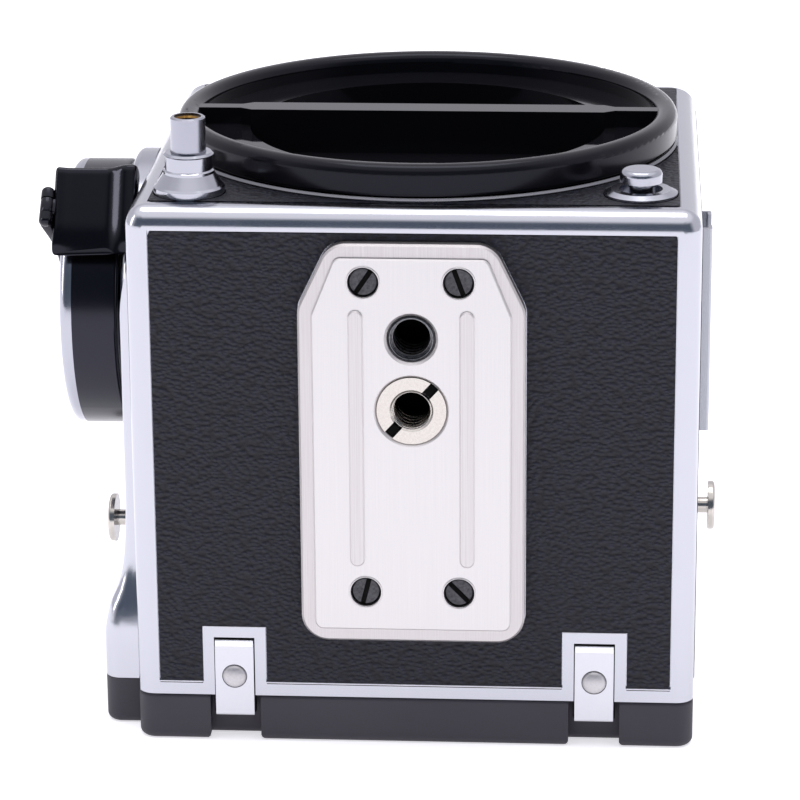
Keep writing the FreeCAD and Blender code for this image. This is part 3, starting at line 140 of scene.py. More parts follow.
def makeLeatherette(name, wideAxis):
    look = leatherLook
    material, tree, shader = startMaterial(name, {"Specular IOR Level": look["gloss"]})
    wide, high = 1000 / look["pebbleWideMm"], 1000 / look["pebbleHighMm"]
    cells = tuple(wide if axis == wideAxis else high for axis in "xyz")
    plain = patternPlace(tree)
    wander = addNode(tree, "ShaderNodeTexNoise", {"Scale": 1000 * look["wandersPerMm"],
                                                  "Detail": 3.0}, {"Vector": plain})
    shift = addNode(tree, "ShaderNodeVectorMath",
                    {"operation": "SCALE", "Scale": look["wanderShare"]},
                    {0: wander.outputs["Color"]})
    moved = addNode(tree, "ShaderNodeVectorMath", {"operation": "ADD"},
                    {0: patternPlace(tree, cells, (0, look["leanRad"], 0)), 1: shift})
    pebble = addNode(tree, "ShaderNodeTexVoronoi", {"feature": "SMOOTH_F1", "Scale": 1.0,
                                                    "Smoothness": 0.45, "Randomness": 1.0},
                     {"Vector": moved})
    crown = addNode(tree, "ShaderNodeMapRange", {"From Min": 0.1, "From Max": 0.85,
                                                 "To Min": 1.0, "To Max": 0.0},
                    {"Value": pebble.outputs["Distance"]})
    crease = addNode(tree, "ShaderNodeTexNoise", {"Scale": 1000 / look["creaseMm"],
                                                  "Detail": 3.0, "Roughness": 0.55},
                     {"Vector": plain})
    fine = addNode(tree, "ShaderNodeMath", {"operation": "MULTIPLY", 1: look["creaseShare"]},
                   {0: crease})
    height = addNode(tree, "ShaderNodeMath", {"operation": "ADD"}, {0: crown, 1: fine})
    # painted shade: the hollows between the pebbles are drawn darker and the crowns paler
    share = addNode(tree, "ShaderNodeMapRange", {"From Min": 0.15, "From Max": 0.9},
                    {"Value": crown})
    colour = addNode(tree, "ShaderNodeMix",
                     {"data_type": "RGBA", mixFirst: linearColour(look["hollowShadeHex"]),
                      mixSecond: linearColour(look["topLitHex"])}, {"Factor": share})
    dull = addNode(tree, "ShaderNodeMapRange", {**noiseMiddle, "To Min": look["rough"][0],
                                                "To Max": look["rough"][1]},
                   {"Value": crease})
    relief = addNode(tree, "ShaderNodeBump", {"Strength": 0.9,
                                              "Distance": look["reliefUm"] / 1e6},
                     {"Height": height})
    wire(tree, shader, {"Base Color": colour.outputs[mixResult], "Roughness": dull,
                        "Normal": relief})
    return material


leatherAcross = makeLeatherette("grained_leatherette_across", "x")
leatherAlong = makeLeatherette("grained_leatherette_along", "y")


# Metals finished on a belt, on a lathe or by blasting: a grain that breaks up what they mirror.
# The real grains are finer. They are drawn a quarter to two thirds of a millimetre wide, so that
# they show.
metals = {
    # nickel plate from the lathe: warm and nearly a mirror
    "turned_nickel_plate": {"paleHex": "#C9C4BE", "darkHex": "#BCB7B1", "rough": (0.16, 0.22),
                            "grainsPerMm": (3, 3, 3), "reliefUm": 3},
    # pressed hooks, bead blasted and plated: an even, cool satin
    "bead_blasted_nickel": {"paleHex": "#CECED4", "darkHex": "#CBCBD2", "rough": (0.3, 0.34),
                            "grainsPerMm": (4, 4, 4), "reliefUm": 1},
    # the fold at the top of a hook, with lines along it, paler than the sheet as a painted
    # highlight
    "hook_fold_painted_highlight": {"paleHex": "#E9E9EE", "darkHex": "#E2E2E8", "rough": (0.25, 0.3),
                           "grainsPerMm": (0.06, 4, 4), "reliefUm": 2},
    # rivet heads closed with a hammer: soft and a little mottled
    "peened_nickel_rivet": {"paleHex": "#D2CFD1", "darkHex": "#C2BFC1", "rough": (0.46, 0.56),
                            "grainsPerMm": (3.5, 3.5, 3.5), "reliefUm": 8},
    # rolled strip: lines along the rail
    "rolled_aluminium": {"paleHex": "#B4B6BD", "darkHex": "#A6A8B0", "rough": (0.24, 0.34),
                         "grainsPerMm": (1.5, 1.5, 0.06), "reliefUm": 4},
    # ground shafts and gears: a plain grey shine
    "turned_steel": {"paleHex": "#B0B0B3", "darkHex": "#9A9A9E", "rough": (0.22, 0.3),
                     "grainsPerMm": (3, 3, 3), "reliefUm": 4},
    # cut thread: darker, as oil and dust sit in the grain
    "oiled_thread_steel": {"paleHex": "#8A8B8E", "darkHex": "#5E5F63", "rough": (0.25, 0.4),
                           "grainsPerMm": (2.5, 2.5, 2.5), "reliefUm": 6},
    # screws blackened in hot oil: dark with a dull shine
    "blackened_steel_screw": {"paleHex": "#545457", "darkHex": "#37373A", "rough": (0.28, 0.4),
                              "grainsPerMm": (2.6, 2.6, 2.6), "reliefUm": 8},
    # countersink of the quarter inch thread: worn bluing, paler than the screws
    "blued_thread_lead": {"paleHex": "#77777C", "darkHex": "#5A5A5F", "rough": (0.35, 0.5),
                          "grainsPerMm": (2.5, 2.5, 2.5), "reliefUm": 6},
    # brass gone brown inside the cable thread
    "turned_brass": {"paleHex": "#8E7040", "darkHex": "#5F4520", "rough": (0.25, 0.4),
                     "grainsPerMm": (1.5, 1.5, 1.5), "reliefUm": 8},
}


def makeMetal(name):
    look = metals[name]
    material, tree, shader = startMaterial(name, {"Metallic": 1.0})
    cells = tuple(1000 * count for count in look["grainsPerMm"])
    grain = addNode(tree, "ShaderNodeTexNoise", {"Scale": 1.0, "Detail": 3.0,
                                                 "Roughness": 0.65},
                    {"Vector": patternPlace(tree, cells)})
    share = addNode(tree, "ShaderNodeMapRange", noiseMiddle, {"Value": grain})
    colour = addNode(tree, "ShaderNodeMix",
                     {"data_type": "RGBA", mixFirst: linearColour(look["darkHex"]),
                      mixSecond: linearColour(look["paleHex"])}, {"Factor": share})
    dull = addNode(tree, "ShaderNodeMapRange", {**noiseMiddle, "To Min": look["rough"][0],
                                                "To Max": look["rough"][1]}, {"Value": grain})
    relief = addNode(tree, "ShaderNodeBump", {"Strength": 0.5,
                                              "Distance": look["reliefUm"] / 1e6},
                     {"Height": grain})
    wire(tree, shader, {"Base Color": colour.outputs[mixResult], "Roughness": dull,
                        "Normal": relief})
    return material


turnedNickel = makeMetal("turned_nickel_plate")
satinNickel = makeMetal("bead_blasted_nickel")
highlightNickel = makeMetal("hook_fold_painted_highlight")
domeNickel = makeMetal("peened_nickel_rivet")
rolledAluminium = makeMetal("rolled_aluminium")
turnedSteel = makeMetal("turned_steel")
threadSteel = makeMetal("oiled_thread_steel")
blackenedSteel = makeMetal("blackened_steel_screw")
leadSteel = makeMetal("blued_thread_lead")
turnedBrass = makeMetal("turned_brass")


# Nickel silver plate: a satin panel that looks nearly plain, and a border and ribs that are left
# brushed lengthways and look a shade darker. The panel is told apart by its height. The brush
# lines are drawn a tenth of a millimetre wide, so that they show.
plateLook = {"panelHex": "#D3D0D0", "panelDarkHex": "#CCC9C9", "borderHex": "#CDC9C9",
             "borderDarkHex": "#BBB6B6", "lineMm": 0.1, "lineLongMm": 16.0, "panelY": -0.0402,
             "stepM": 0.0005, "rough": (0.34, 0.42), "reliefUm": 10}


def makePlateMetal():
    look = plateLook
    material, tree, shader = startMaterial("brushed_nickel_silver", {"Metallic": 1.0})
    wide, high = 1000 / look["lineMm"], 1000 / look["lineLongMm"]
    lines = addNode(tree, "ShaderNodeTexNoise", {"Scale": 1.0, "Detail": 3.0,
                                                 "Roughness": 0.6},
                    {"Vector": patternPlace(tree, (wide, wide, high))})
    line = addNode(tree, "ShaderNodeMapRange", noiseMiddle, {"Value": lines})
    parts = addNode(tree, "ShaderNodeSeparateXYZ", links={"Vector": patternPlace(tree)})
    off = addNode(tree, "ShaderNodeMath", {"operation": "SUBTRACT", 1: look["panelY"]},
                  {0: parts.outputs["Y"]})
    gap = addNode(tree, "ShaderNodeMath", {"operation": "ABSOLUTE"}, {0: off})
    border = addNode(tree, "ShaderNodeMapRange", {"From Max": look["stepM"]}, {"Value": gap})
    shades = [addNode(tree, "ShaderNodeMix",
                      {"data_type": "RGBA", mixFirst: linearColour(look[dark]),
                       mixSecond: linearColour(look[pale])}, {"Factor": line})
              for dark, pale in (("panelDarkHex", "panelHex"), ("borderDarkHex", "borderHex"))]
    colour = addNode(tree, "ShaderNodeMix", {"data_type": "RGBA"},
                     {"Factor": border, mixFirst: shades[0].outputs[mixResult],
                      mixSecond: shades[1].outputs[mixResult]})
    dull = addNode(tree, "ShaderNodeMapRange", {"To Min": look["rough"][0],
                                                "To Max": look["rough"][1]}, {"Value": line})
    edgeLines = addNode(tree, "ShaderNodeMath", {"operation": "MULTIPLY"}, {0: line, 1: border})
    relief = addNode(tree, "ShaderNodeBump", {"Strength": 0.6,
                                              "Distance": look["reliefUm"] / 1e6},
                     {"Height": edgeLines})
    wire(tree, shader, {"Base Color": colour.outputs[mixResult], "Roughness": dull,
                        "Normal": relief})
    return material


brushedPlate = makePlateMetal()


# Plastics and paints: the mould's or the spray's own texture, and a swirl of uneven shine. The
# finest textures are drawn somewhat coarser than they are, so that they show.
plastics = {
    # ABS from a spark eroded mould: an even dark grey with hardly any shine
    "matt_moulded_abs": {"hex": "#322F38", "rough": (0.5, 0.6), "textureMm": 0.16,
                         "reliefUm": 30, "gloss": 0.4},
    # ABS from a polished mould: near black, with long soft highlights round the rim
    "smooth_moulded_abs": {"hex": "#131316", "rough": (0.13, 0.18), "textureMm": 1.5,
                           "reliefUm": 2, "gloss": 0.2, "shineHex": "#D8D8F0"},
    # pressed black resin, with a faint blue bloom in its shine
    "glossy_black_resin": {"hex": "#050507", "rough": (0.2, 0.26), "textureMm": 2.5,
                           "reliefUm": 3, "gloss": 0.5, "shineHex": "#D8D8F0"},
    # the same resin where fingers have rubbed it smooth
    "handled_black_resin": {"hex": "#050507", "rough": (0.1, 0.16), "textureMm": 1.2,
                            "reliefUm": 6, "gloss": 0.35, "shineHex": "#D8D8F0"},
    # enamel sprayed inside the chamber and on the hood: matt, so that it throws back no light
    "matt_black_enamel": {"hex": "#0F0F10", "rough": (0.45, 0.6), "textureMm": 0.12,
                          "reliefUm": 20, "gloss": 0.4},
    # painted shade: a flat black with no shine at all, set deep in holes and gaps where shade
    # falls
    "painted_shade_black": {"hex": "#020202", "rough": (0.6, 0.8), "textureMm": 0.2,
                           "reliefUm": 10, "gloss": 0.1},
}
plasticBody = {"swirlsPerMm": 0.06, "index": 1.53}


def makePlastic(name):
    look = plastics[name]
    material, tree, shader = startMaterial(name, {
        "Base Color": look["hex"], "IOR": plasticBody["index"],
        "Specular IOR Level": look["gloss"], "Specular Tint": look.get("shineHex", "#FFFFFF")})
    place = patternPlace(tree)
    texture = addNode(tree, "ShaderNodeTexNoise", {"Scale": 1000 / look["textureMm"],
                                                   "Detail": 2.0}, {"Vector": place})
    swirl = addNode(tree, "ShaderNodeTexNoise", {"Scale": 1000 * plasticBody["swirlsPerMm"],
                                                 "Detail": 4.0}, {"Vector": place})
    dull = addNode(tree, "ShaderNodeMapRange", {"From Min": 0.35, "From Max": 0.65,
                                                "To Min": look["rough"][0],
                                                "To Max": look["rough"][1]}, {"Value": swirl})
    relief = addNode(tree, "ShaderNodeBump", {"Strength": 0.6,
                                              "Distance": look["reliefUm"] / 1e6},
                     {"Height": texture})
    wire(tree, shader, {"Roughness": dull, "Normal": relief})
    return material


coverPlastic = makePlastic("matt_moulded_abs")
capPlastic = makePlastic("smooth_moulded_abs")
crankPlastic = makePlastic("glossy_black_resin")
gripPlastic = makePlastic("handled_black_resin")
blackPaint = makePlastic("matt_black_enamel")
paintedShadeBlack = makePlastic("painted_shade_black")

# The cap's well was pressed against a polished core, so it is smoother than the outside
capWell = {"middleM": (0, 0.002, 0), "insideM": 0.0325, "outsideM": 0.0331, "roughShare": 0.3}


def polishCapWell():
    tree = capPlastic.node_tree
    shader = tree.nodes["Principled BSDF"]
    fromMiddle = addNode(tree, "ShaderNodeVectorMath",
                         {"operation": "SUBTRACT", 1: capWell["middleM"]},
                         {0: patternPlace(tree)})
    flat = addNode(tree, "ShaderNodeVectorMath", {"operation": "MULTIPLY", 1: (1, 1, 0)},
                   {0: fromMiddle})
    reach = addNode(tree, "ShaderNodeVectorMath", {"operation": "LENGTH"}, {0: flat})
    share = addNode(tree, "ShaderNodeMapRange",
                    {"From Min": capWell["insideM"], "From Max": capWell["outsideM"],
                     "To Min": capWell["roughShare"]}, {"Value": reach.outputs["Value"]})
    dull = addNode(tree, "ShaderNodeMath", {"operation": "MULTIPLY"},
                   {0: shader.inputs["Roughness"].links[0].from_socket, 1: share})
    wire(tree, shader, {"Roughness": dull})


polishCapWell()


# Glass, with a faint ripple left by the polisher, drawn as coarse as it needs to show
glasses = {
    # the screen is ground on one side, so it glows evenly
    "ground_glass": {"hex": "#E4E8E6", "rough": 0.5, "index": 1.5, "through": 0.6},
    # the magnifier is polished crown glass: clear, with a hard bright reflection
    "lens_crown_glass": {"hex": "#F4F8F8", "rough": 0.02, "index": 1.52, "through": 0.95},
}
glassRipple = {"perMm": 4, "reliefUm": 3}


def makeGlass(name):
    look = glasses[name]
    material, tree, shader = startMaterial(name, {
        "Base Color": look["hex"], "Roughness": look["rough"], "IOR": look["index"],
        "Transmission Weight": look["through"]})
    ripple = addNode(tree, "ShaderNodeTexNoise", {"Scale": 1000.0 * glassRipple["perMm"]},
                     {"Vector": patternPlace(tree)})
    relief = addNode(tree, "ShaderNodeBump", {"Strength": 0.3,
                                              "Distance": glassRipple["reliefUm"] / 1e6},
                     {"Height": ripple})
    wire(tree, shader, {"Normal": relief})
    return material


groundGlass = makeGlass("ground_glass")
lensGlass = makeGlass("lens_crown_glass")

# The finish of each CAD node
finishes = {
    satinChrome: ["body_shell"],
    brightChrome: ["release_escutcheon", "lens_lock_escutcheon", "crank_boss",
                   "lens_lock_button", "crank_rim", "crank_hub_screw"],
    shadedRingChrome: ["lens_mount_ring"],
    buttonChrome: ["release_button"],
    satinNickel: ["hook_rivets", "cover_hook_right", "cover_hook_left"],
    leatherAcross: ["bottom_leather", "front_leather"],
    leatherAlong: ["left_leather", "right_leather"],
    brushedPlate: ["tripod_plate"],
    turnedNickel: ["thread_insert", "screen_frame", "strap_lug_left", "strap_lug_right"],
    rolledAluminium: ["accessory_rail"],
    turnedSteel: ["gear_axles", "winding_shaft", "winding_gear", "idler_gear",
                  "magazine_gear", "lens_drive_shaft"],
    blackenedSteel: ["plate_screws", "mount_screws", "rail_screws"],
    turnedBrass: ["release_thread"],
    coverPlastic: ["rear_cover"],
    capPlastic: ["front_cap"],
    crankPlastic: ["crank_drum", "crank_arm", "crank_grip", "grip_pin"],
    blackPaint: ["mirror_box", "mirror_frame", "upper_flap", "lower_flap", "hood_base",
                 "hood_lid", "hood_leaf_left", "hood_leaf_right", "hood_leaf_rear"],
    mirrorSilver: ["mirror"],
    groundGlass: ["focusing_screen"],
    lensGlass: ["hood_magnifier"],
}
for finish, names in finishes.items():
    for name in names:
        slots = nodes[name].data.materials
        slots.clear()
        slots.append(finish)
print("stage: materials on", sum(len(names) for names in finishes.values()), "nodes")


# Small helpers for pieces modelled here. Sizes in the dictionaries are millimetres.

nearMm = 0.01  # a point this close to a line or a plane counts as on it
weldM = 0.000001  # points this close are merged into one
facing = 0.9  # a face this much turned along an axis counts as facing that way


def metres(*values):
    return tuple(value / 1000 for value in values)


def pick(piece, kind, test):
    # selects vertices by place, edges by their two ends, or faces by centre and normal, and
    # leaves edit mode open on them
    bpy.ops.object.mode_set(mode="EDIT")
    bpy.ops.mesh.select_mode(type=kind)
    bpy.ops.mesh.select_all(action="DESELECT")
    bpy.ops.object.mode_set(mode="OBJECT")
    mesh = piece.data
    if kind == "VERT":
        for vertex in mesh.vertices:
            vertex.select = test(vertex.co * 1000)
    elif kind == "EDGE":
        for edge in mesh.edges:
            a, b = (mesh.vertices[i].co * 1000 for i in edge.vertices)
            edge.select = test(a, b)
    else:
        for face in mesh.polygons:
            face.select = test(face.center * 1000, face.normal)
    bpy.ops.object.mode_set(mode="EDIT")


def closeEdit():
    bpy.ops.object.mode_set(mode="OBJECT")


def applyPlace():
    bpy.ops.object.transform_apply(location=True, rotation=True, scale=True)


def selectOnly(piece):
    bpy.ops.object.select_all(action="DESELECT")
    piece.select_set(True)
    bpy.context.view_layer.objects.active = piece


def startCube(name, low, high):
    bpy.ops.object.select_all(action="DESELECT")
    middle = [(a + b) / 2 for a, b in zip(low, high)]
    bpy.ops.mesh.primitive_cube_add(size=1.0, location=metres(*middle))
    piece = bpy.context.object
    piece.name = name
    piece.scale = metres(*(b - a for a, b in zip(low, high)))
    applyPlace()
    return piece


def useModifier(piece, kind, settings):
    modifier = piece.modifiers.new(kind.lower(), kind)
    for key, value in settings.items():
        setattr(modifier, key, value)
    bpy.context.view_layer.objects.active = piece
    bpy.ops.object.modifier_apply(modifier=modifier.name)


def softenEdges(piece, widthMm, segments=3, angleDeg=35):
    useModifier(piece, "BEVEL", {"width": widthMm / 1000, "segments": segments,
                                 "limit_method": "ANGLE", "angle_limit": math.radians(angleDeg)})


def finishPiece(piece, finish, body, replaced=(), angleDeg=35):
    selectOnly(piece)
    applyPlace()
    bpy.ops.object.shade_smooth_by_angle(angle=math.radians(angleDeg))
    piece.data.materials.clear()
    piece.data.materials.append(finish)
    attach(piece, body)
    if replaced:
        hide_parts(*replaced)


def startPin(name, radius, half, x, z, edges):
    # a short round bar along Y
    bpy.ops.object.select_all(action="DESELECT")
    bpy.ops.mesh.primitive_cylinder_add(vertices=edges, radius=radius / 1000,
                                        depth=2 * half / 1000, rotation=(math.pi / 2, 0, 0),
                                        location=metres(x, 0, z))
    piece = bpy.context.object
    piece.name = name
    applyPlace()
    return piece


def startRod(name, radius, fromX, toX, edges=64):
    # a short round bar along X, round the middle line
    bpy.ops.object.select_all(action="DESELECT")
    bpy.ops.mesh.primitive_cylinder_add(vertices=edges, radius=radius / 1000,
                                        depth=abs(toX - fromX) / 1000,
                                        location=metres((fromX + toX) / 2, 0, 0),
                                        rotation=(0, math.pi / 2, 0))
    piece = bpy.context.object
    piece.name = name
    applyPlace()
    return piece


def joinPieces(piece, others):
    selectOnly(piece)
    for other in others:
        other.select_set(True)
    bpy.ops.object.join()


def cutWith(piece, low, high):
    cutter = startCube("cutter", low, high)
    useModifier(piece, "BOOLEAN", {"operation": "DIFFERENCE", "solver": "EXACT",
                                   "object": cutter})
    bpy.data.objects.remove(cutter, do_unlink=True)


# Crank: everything is made upright, pointing away from the axis along Z, then turned into place
crank = {"axisZ": 54.7, "turnDeg": 45.0}


def turnCrankPiece(piece):
    selectOnly(piece)
    piece.rotation_euler = (math.radians(crank["turnDeg"]), 0, 0)
    piece.location = metres(0, 0, crank["axisZ"])
    applyPlace()


# The grip is a saddle: a thumb face that leans back, dips along its middle and flares up to the
# end next to the camera body
grip = {"startX": -51.95, "endX": -39.9, "lowR": 21.5, "highR": 26.9, "endLowR": 23.4,
        "halfWide": 6.25, "columns": 11, "rows": 7, "leanDeg": 16.0, "facetT": -4.5, "dip": 1.15,
        "flareFrom": 0.66, "flareTo": 0.84, "lip": 0.4, "lipTo": 0.16, "knuckleR": 24.35,
        "knuckleRound": 0.97, "knuckleHalf": 1.18, "knuckleX": -52.68,
        "facetRise": 0.5, "underShare": 0.5, "neckIn": 0.6, "neckShare": 0.4, "neckEdge": 0.3,
        "knuckleEdge": 0.2}


def gripFaceHeight(t):
    # how far out the thumb face lies at t across the grip, before the dip
    lean = math.tan(math.radians(grip["leanDeg"]))
    low = grip["highR"] - (grip["halfWide"] - grip["facetT"]) * lean
    if t < grip["facetT"]:
        share = (t + grip["halfWide"]) / (grip["facetT"] + grip["halfWide"])
        foot = grip["lowR"] + grip["facetRise"]
        return foot + share * (low - foot)
    return grip["highR"] - (grip["halfWide"] - t) * lean


def easeStep(low, high, value):
    # 0 up to low and 1 from high on, with soft ends between
    share = min(1.0, max(0.0, (value - low) / (high - low)))
    return share * share * (3 - 2 * share)


def makeGrip():
    wide = grip["halfWide"]
    piece = startCube("crank_grip_saddle", (grip["startX"], -wide, grip["lowR"]),
                      (grip["endX"], wide, grip["highR"]))
    top = grip["highR"] - nearMm
    pick(piece, "EDGE", lambda a, b: abs(a.y - b.y) > 1)
    bpy.ops.mesh.subdivide(number_cuts=grip["rows"])
    closeEdit()
    step = 2 * wide / (grip["rows"] + 1)
    for row in range(grip["rows"] + 2):
        t = -wide + row * step
        pick(piece, "VERT", lambda co, t=t: abs(co.y - t) < nearMm and co.z > top)
        bpy.ops.transform.translate(value=metres(0, 0, gripFaceHeight(t) - grip["highR"]))
        closeEdit()
    # columns along the grip: the dip, the flare and the sloping underside
    pick(piece, "EDGE", lambda a, b: abs(a.x - b.x) > 1)
    bpy.ops.mesh.subdivide(number_cuts=grip["columns"])
    closeEdit()
    length = grip["endX"] - grip["startX"]
    for column in range(grip["columns"] + 2):
        share = column / (grip["columns"] + 1)
        x = grip["startX"] + share * length
        sunk = (1 - easeStep(grip["flareFrom"], grip["flareTo"], share)) \
            * (1 - grip["lip"] + grip["lip"] * easeStep(0, grip["lipTo"], share))
        pick(piece, "VERT", lambda co, x=x: abs(co.x - x) < nearMm
             and co.z > grip["lowR"] + nearMm)
        bpy.ops.transform.translate(value=metres(0, 0, -grip["dip"] * sunk))
        closeEdit()
        pick(piece, "VERT", lambda co, x=x: abs(co.x - x) < nearMm
             and co.z < grip["lowR"] + nearMm)
        rise = (grip["endLowR"] - grip["lowR"]) * grip["underShare"] * share
        bpy.ops.transform.translate(value=metres(0, 0, rise))
        closeEdit()
    useModifier(piece, "SUBSURF", {"levels": 3, "render_levels": 3})
    half = grip["knuckleHalf"]
    neck = startCube("grip_neck",
                     (grip["knuckleX"], -half, grip["knuckleR"] - grip["knuckleRound"]),
                     (grip["startX"] + grip["neckIn"], half,
                      grip["knuckleR"] + grip["knuckleRound"] * grip["neckShare"]))
    softenEdges(neck, grip["neckEdge"], 3)
    knuckle = startPin("grip_knuckle", grip["knuckleRound"], half, grip["knuckleX"],
                       grip["knuckleR"], 32)
    softenEdges(knuckle, grip["knuckleEdge"], 2)
    joinPieces(piece, [neck, knuckle])
    turnCrankPiece(piece)
    finishPiece(piece, gripPlastic, "grip", ["crank_grip"], 50)


# The arm is a flat blade on the hub that swells to a rounded head, forked round the grip's hinge.
# Each section is its height, its back and its face along X, and its half width.
arm = {"hubR": 10.85, "hubBackX": -49.5, "rimX": -51.3, "bossR": 6.2, "bossX": -53.15,
       "sections": ((17.4, -51.42, -52.2, 2.95), (20.4, -51.5, -52.75, 2.9),
                    (24.0, -51.84, -53.55, 2.85)),
       "edgeRound": 0.3, "headX": -52.68, "headR": 24.35, "headRound": 0.98, "headHalf": 2.98,
       "headEdge": 0.7, "forkHalf": 1.2, "forkFrom": 23.2, "forkTo": 28.0, "screwR": 4.2,
       "screwX": -53.5, "slotHalf": 0.45, "slotX": -53.3, "hubEdge": 0.3, "screwEdge": 0.15,
       "cutFrom": -60.0, "cutTo": -45.0, "overlap": 0.1}


def makeArm():
    height, back, face, wide = arm["sections"][0]
    blade = startCube("crank_arm_blade", (face, -wide, 0.0), (back, wide, height))
    for section in arm["sections"][1:]:
        pick(blade, "FACE", lambda co, n: n.z > facing and co.z > height - nearMm)
        bpy.ops.mesh.extrude_region_move(TRANSFORM_OT_translate={
            "value": metres(0, 0, section[0] - height)})
        closeEdit()
        middle = (back + face) / 2
        for outer, shift in ((False, section[1] - back), (True, section[2] - face)):
            pick(blade, "VERT", lambda co: co.z > section[0] - nearMm
                 and (co.x < middle) == outer)
            bpy.ops.transform.translate(value=metres(shift, 0, 0))
            closeEdit()
        pick(blade, "VERT", lambda co: co.z > section[0] - nearMm)
        bpy.ops.transform.resize(value=(1.0, section[3] / wide, 1.0))
        closeEdit()
        height, back, face, wide = section
    softenEdges(blade, arm["edgeRound"], 3, 30)
    head = startPin("arm_head", arm["headRound"], arm["headHalf"], arm["headX"],
                    arm["headR"], 48)
    softenEdges(head, arm["headEdge"], 5, 60)
    for part in (blade, head):
        cutWith(part, (arm["cutFrom"], -arm["forkHalf"], arm["forkFrom"]),
                (arm["cutTo"], arm["forkHalf"], arm["forkTo"]))
    hub = startRod("arm_hub", arm["hubR"], arm["hubBackX"], arm["rimX"])
    boss = startRod("arm_boss", arm["bossR"], arm["rimX"] + arm["overlap"], arm["bossX"], 48)
    for part in (hub, boss):
        softenEdges(part, arm["hubEdge"], 2, 40)
    joinPieces(blade, [hub, boss, head])
    turnCrankPiece(blade)
    finishPiece(blade, gripPlastic, "crank", ["crank_arm"], 40)
    screw = startRod("crank_hub_screw_flush", arm["screwR"], arm["bossX"] + arm["overlap"],
                     arm["screwX"], 48)
    softenEdges(screw, arm["screwEdge"], 2, 40)
    cutWith(screw, (arm["cutFrom"], -arm["slotHalf"], -arm["bossR"]),
            (arm["slotX"], arm["slotHalf"], arm["bossR"]))
    turnCrankPiece(screw)
    finishPiece(screw, blackenedSteel, "crank", ["crank_hub_screw"], 40)


makeArm()
makeGrip()
print("stage: crank arm and grip")


# Tapped holes: a black cup lines each bore as painted shade, and a vee ridge winds down inside it
holes = {"boreR": 2.55, "cupR": 2.53, "cupWall": 0.05, "endY": -30.9, "pitch": 1.27,
         "ridge": 0.2, "turns": 4, "turnsIn": 0.3, "slotRound": 0.1, "leadWall": 0.04,
         "quarterZ": 60.15, "quarterY": -38.95, "bushZ": 49.95, "bushY": -39.55,
         "bushCupY": -38.2, "slotTurnDeg": -48.0, "slotWide": 1.36, "slotFrom": 3.0,
         "slotTo": 4.7, "slotY": -39.75, "slotEndY": -38.3, "leadFrontY": -39.9,
         "leadBackY": -39.0, "leadFrontR": 3.14, "leadBackR": 2.62, "leadBead": 0.09,
         "leadTurns": ((2.95, -39.75), (2.8, -39.42), (2.66, -39.1)),
         "bushTurns": ((2.68, -39.72), (2.6, -39.4), (2.54, -39.05), (2.5, -38.7))}


def alongY(piece, x, y, z):
    # stands a piece that was made round Z into a bore that runs along Y
    piece.rotation_euler = (-math.pi / 2, 0, 0)
    piece.location = metres(x, y, z)


def startRing(name, radius, bead, edges=10):
    # a thin bead turned once round Z
    bpy.ops.object.select_all(action="DESELECT")
    bpy.ops.mesh.primitive_circle_add(vertices=edges, radius=bead / 1000,
                                      rotation=(math.pi / 2, 0, 0))
    ring = bpy.context.object
    ring.name = name
    applyPlace()
    ring.data.transform(Matrix.Translation(metres(radius, 0, 0)))
    useModifier(ring, "SCREW", {"axis": "Z", "screw_offset": 0.0, "steps": 48,
                                "render_steps": 48, "use_merge_vertices": True,
                                "merge_threshold": weldM})
    pick(ring, "VERT", lambda co: True)
    bpy.ops.mesh.remove_doubles(threshold=weldM)
    bpy.ops.mesh.normals_make_consistent(inside=False)
    closeEdit()
    return ring


def makeCup(name, frontY, z):
    depth = holes["endY"] - frontY
    bpy.ops.object.select_all(action="DESELECT")
    bpy.ops.mesh.primitive_cylinder_add(vertices=48, radius=holes["cupR"] / 1000,
                                        depth=depth / 1000)
    cup = bpy.context.object
    cup.name = name
    pick(cup, "FACE", lambda co, n: n.z < -facing)
    bpy.ops.mesh.delete(type="FACE")
    closeEdit()
    useModifier(cup, "SOLIDIFY", {"thickness": holes["cupWall"] / 1000, "offset": -1.0})
    alongY(cup, 0, frontY + depth / 2, z)
    # painted shade: the cup is flat black, so the bore reads dark
    finishPiece(cup, paintedShadeBlack, "camera_body")


def makeRidge(name, frontY, z, finish):
    half = holes["pitch"] / 2
    bpy.ops.object.select_all(action="DESELECT")
    bpy.ops.mesh.primitive_circle_add(vertices=3, radius=half / 1000,
                                      rotation=(math.pi / 2, -math.pi / 2, 0))
    ridge = bpy.context.object
    ridge.name = name
    applyPlace()
    ridge.data.transform(Matrix.Diagonal((holes["ridge"] / half, 1.0, 1.0, 1.0)))
    ridge.data.transform(Matrix.Translation(metres(holes["boreR"], 0, 0)))
    useModifier(ridge, "SCREW", {"axis": "Z", "screw_offset": holes["pitch"] / 1000,
                                 "iterations": holes["turns"], "steps": 32,
                                 "render_steps": 32})
    pick(ridge, "VERT", lambda co: True)
    bpy.ops.mesh.fill_holes(sides=3)
    bpy.ops.mesh.normals_make_consistent(inside=False)
    closeEdit()
    alongY(ridge, 0, frontY + holes["turnsIn"], z)
    finishPiece(ridge, finish, "camera_body", (), 20)


def makeLead():
    # the steel lead of the quarter inch thread is an open cone
    low, high = holes["leadFrontY"], holes["leadBackY"]
    bpy.ops.object.select_all(action="DESELECT")
    bpy.ops.mesh.primitive_cone_add(vertices=48, radius1=holes["leadFrontR"] / 1000,
                                    radius2=holes["leadBackR"] / 1000,
                                    depth=(high - low) / 1000, end_fill_type="NOTHING")
    lead = bpy.context.object
    lead.name = "quarter_inch_lead"
    useModifier(lead, "SOLIDIFY", {"thickness": holes["leadWall"] / 1000, "offset": 1.0})
    alongY(lead, 0, (low + high) / 2, holes["quarterZ"])
    finishPiece(lead, leadSteel, "camera_body")


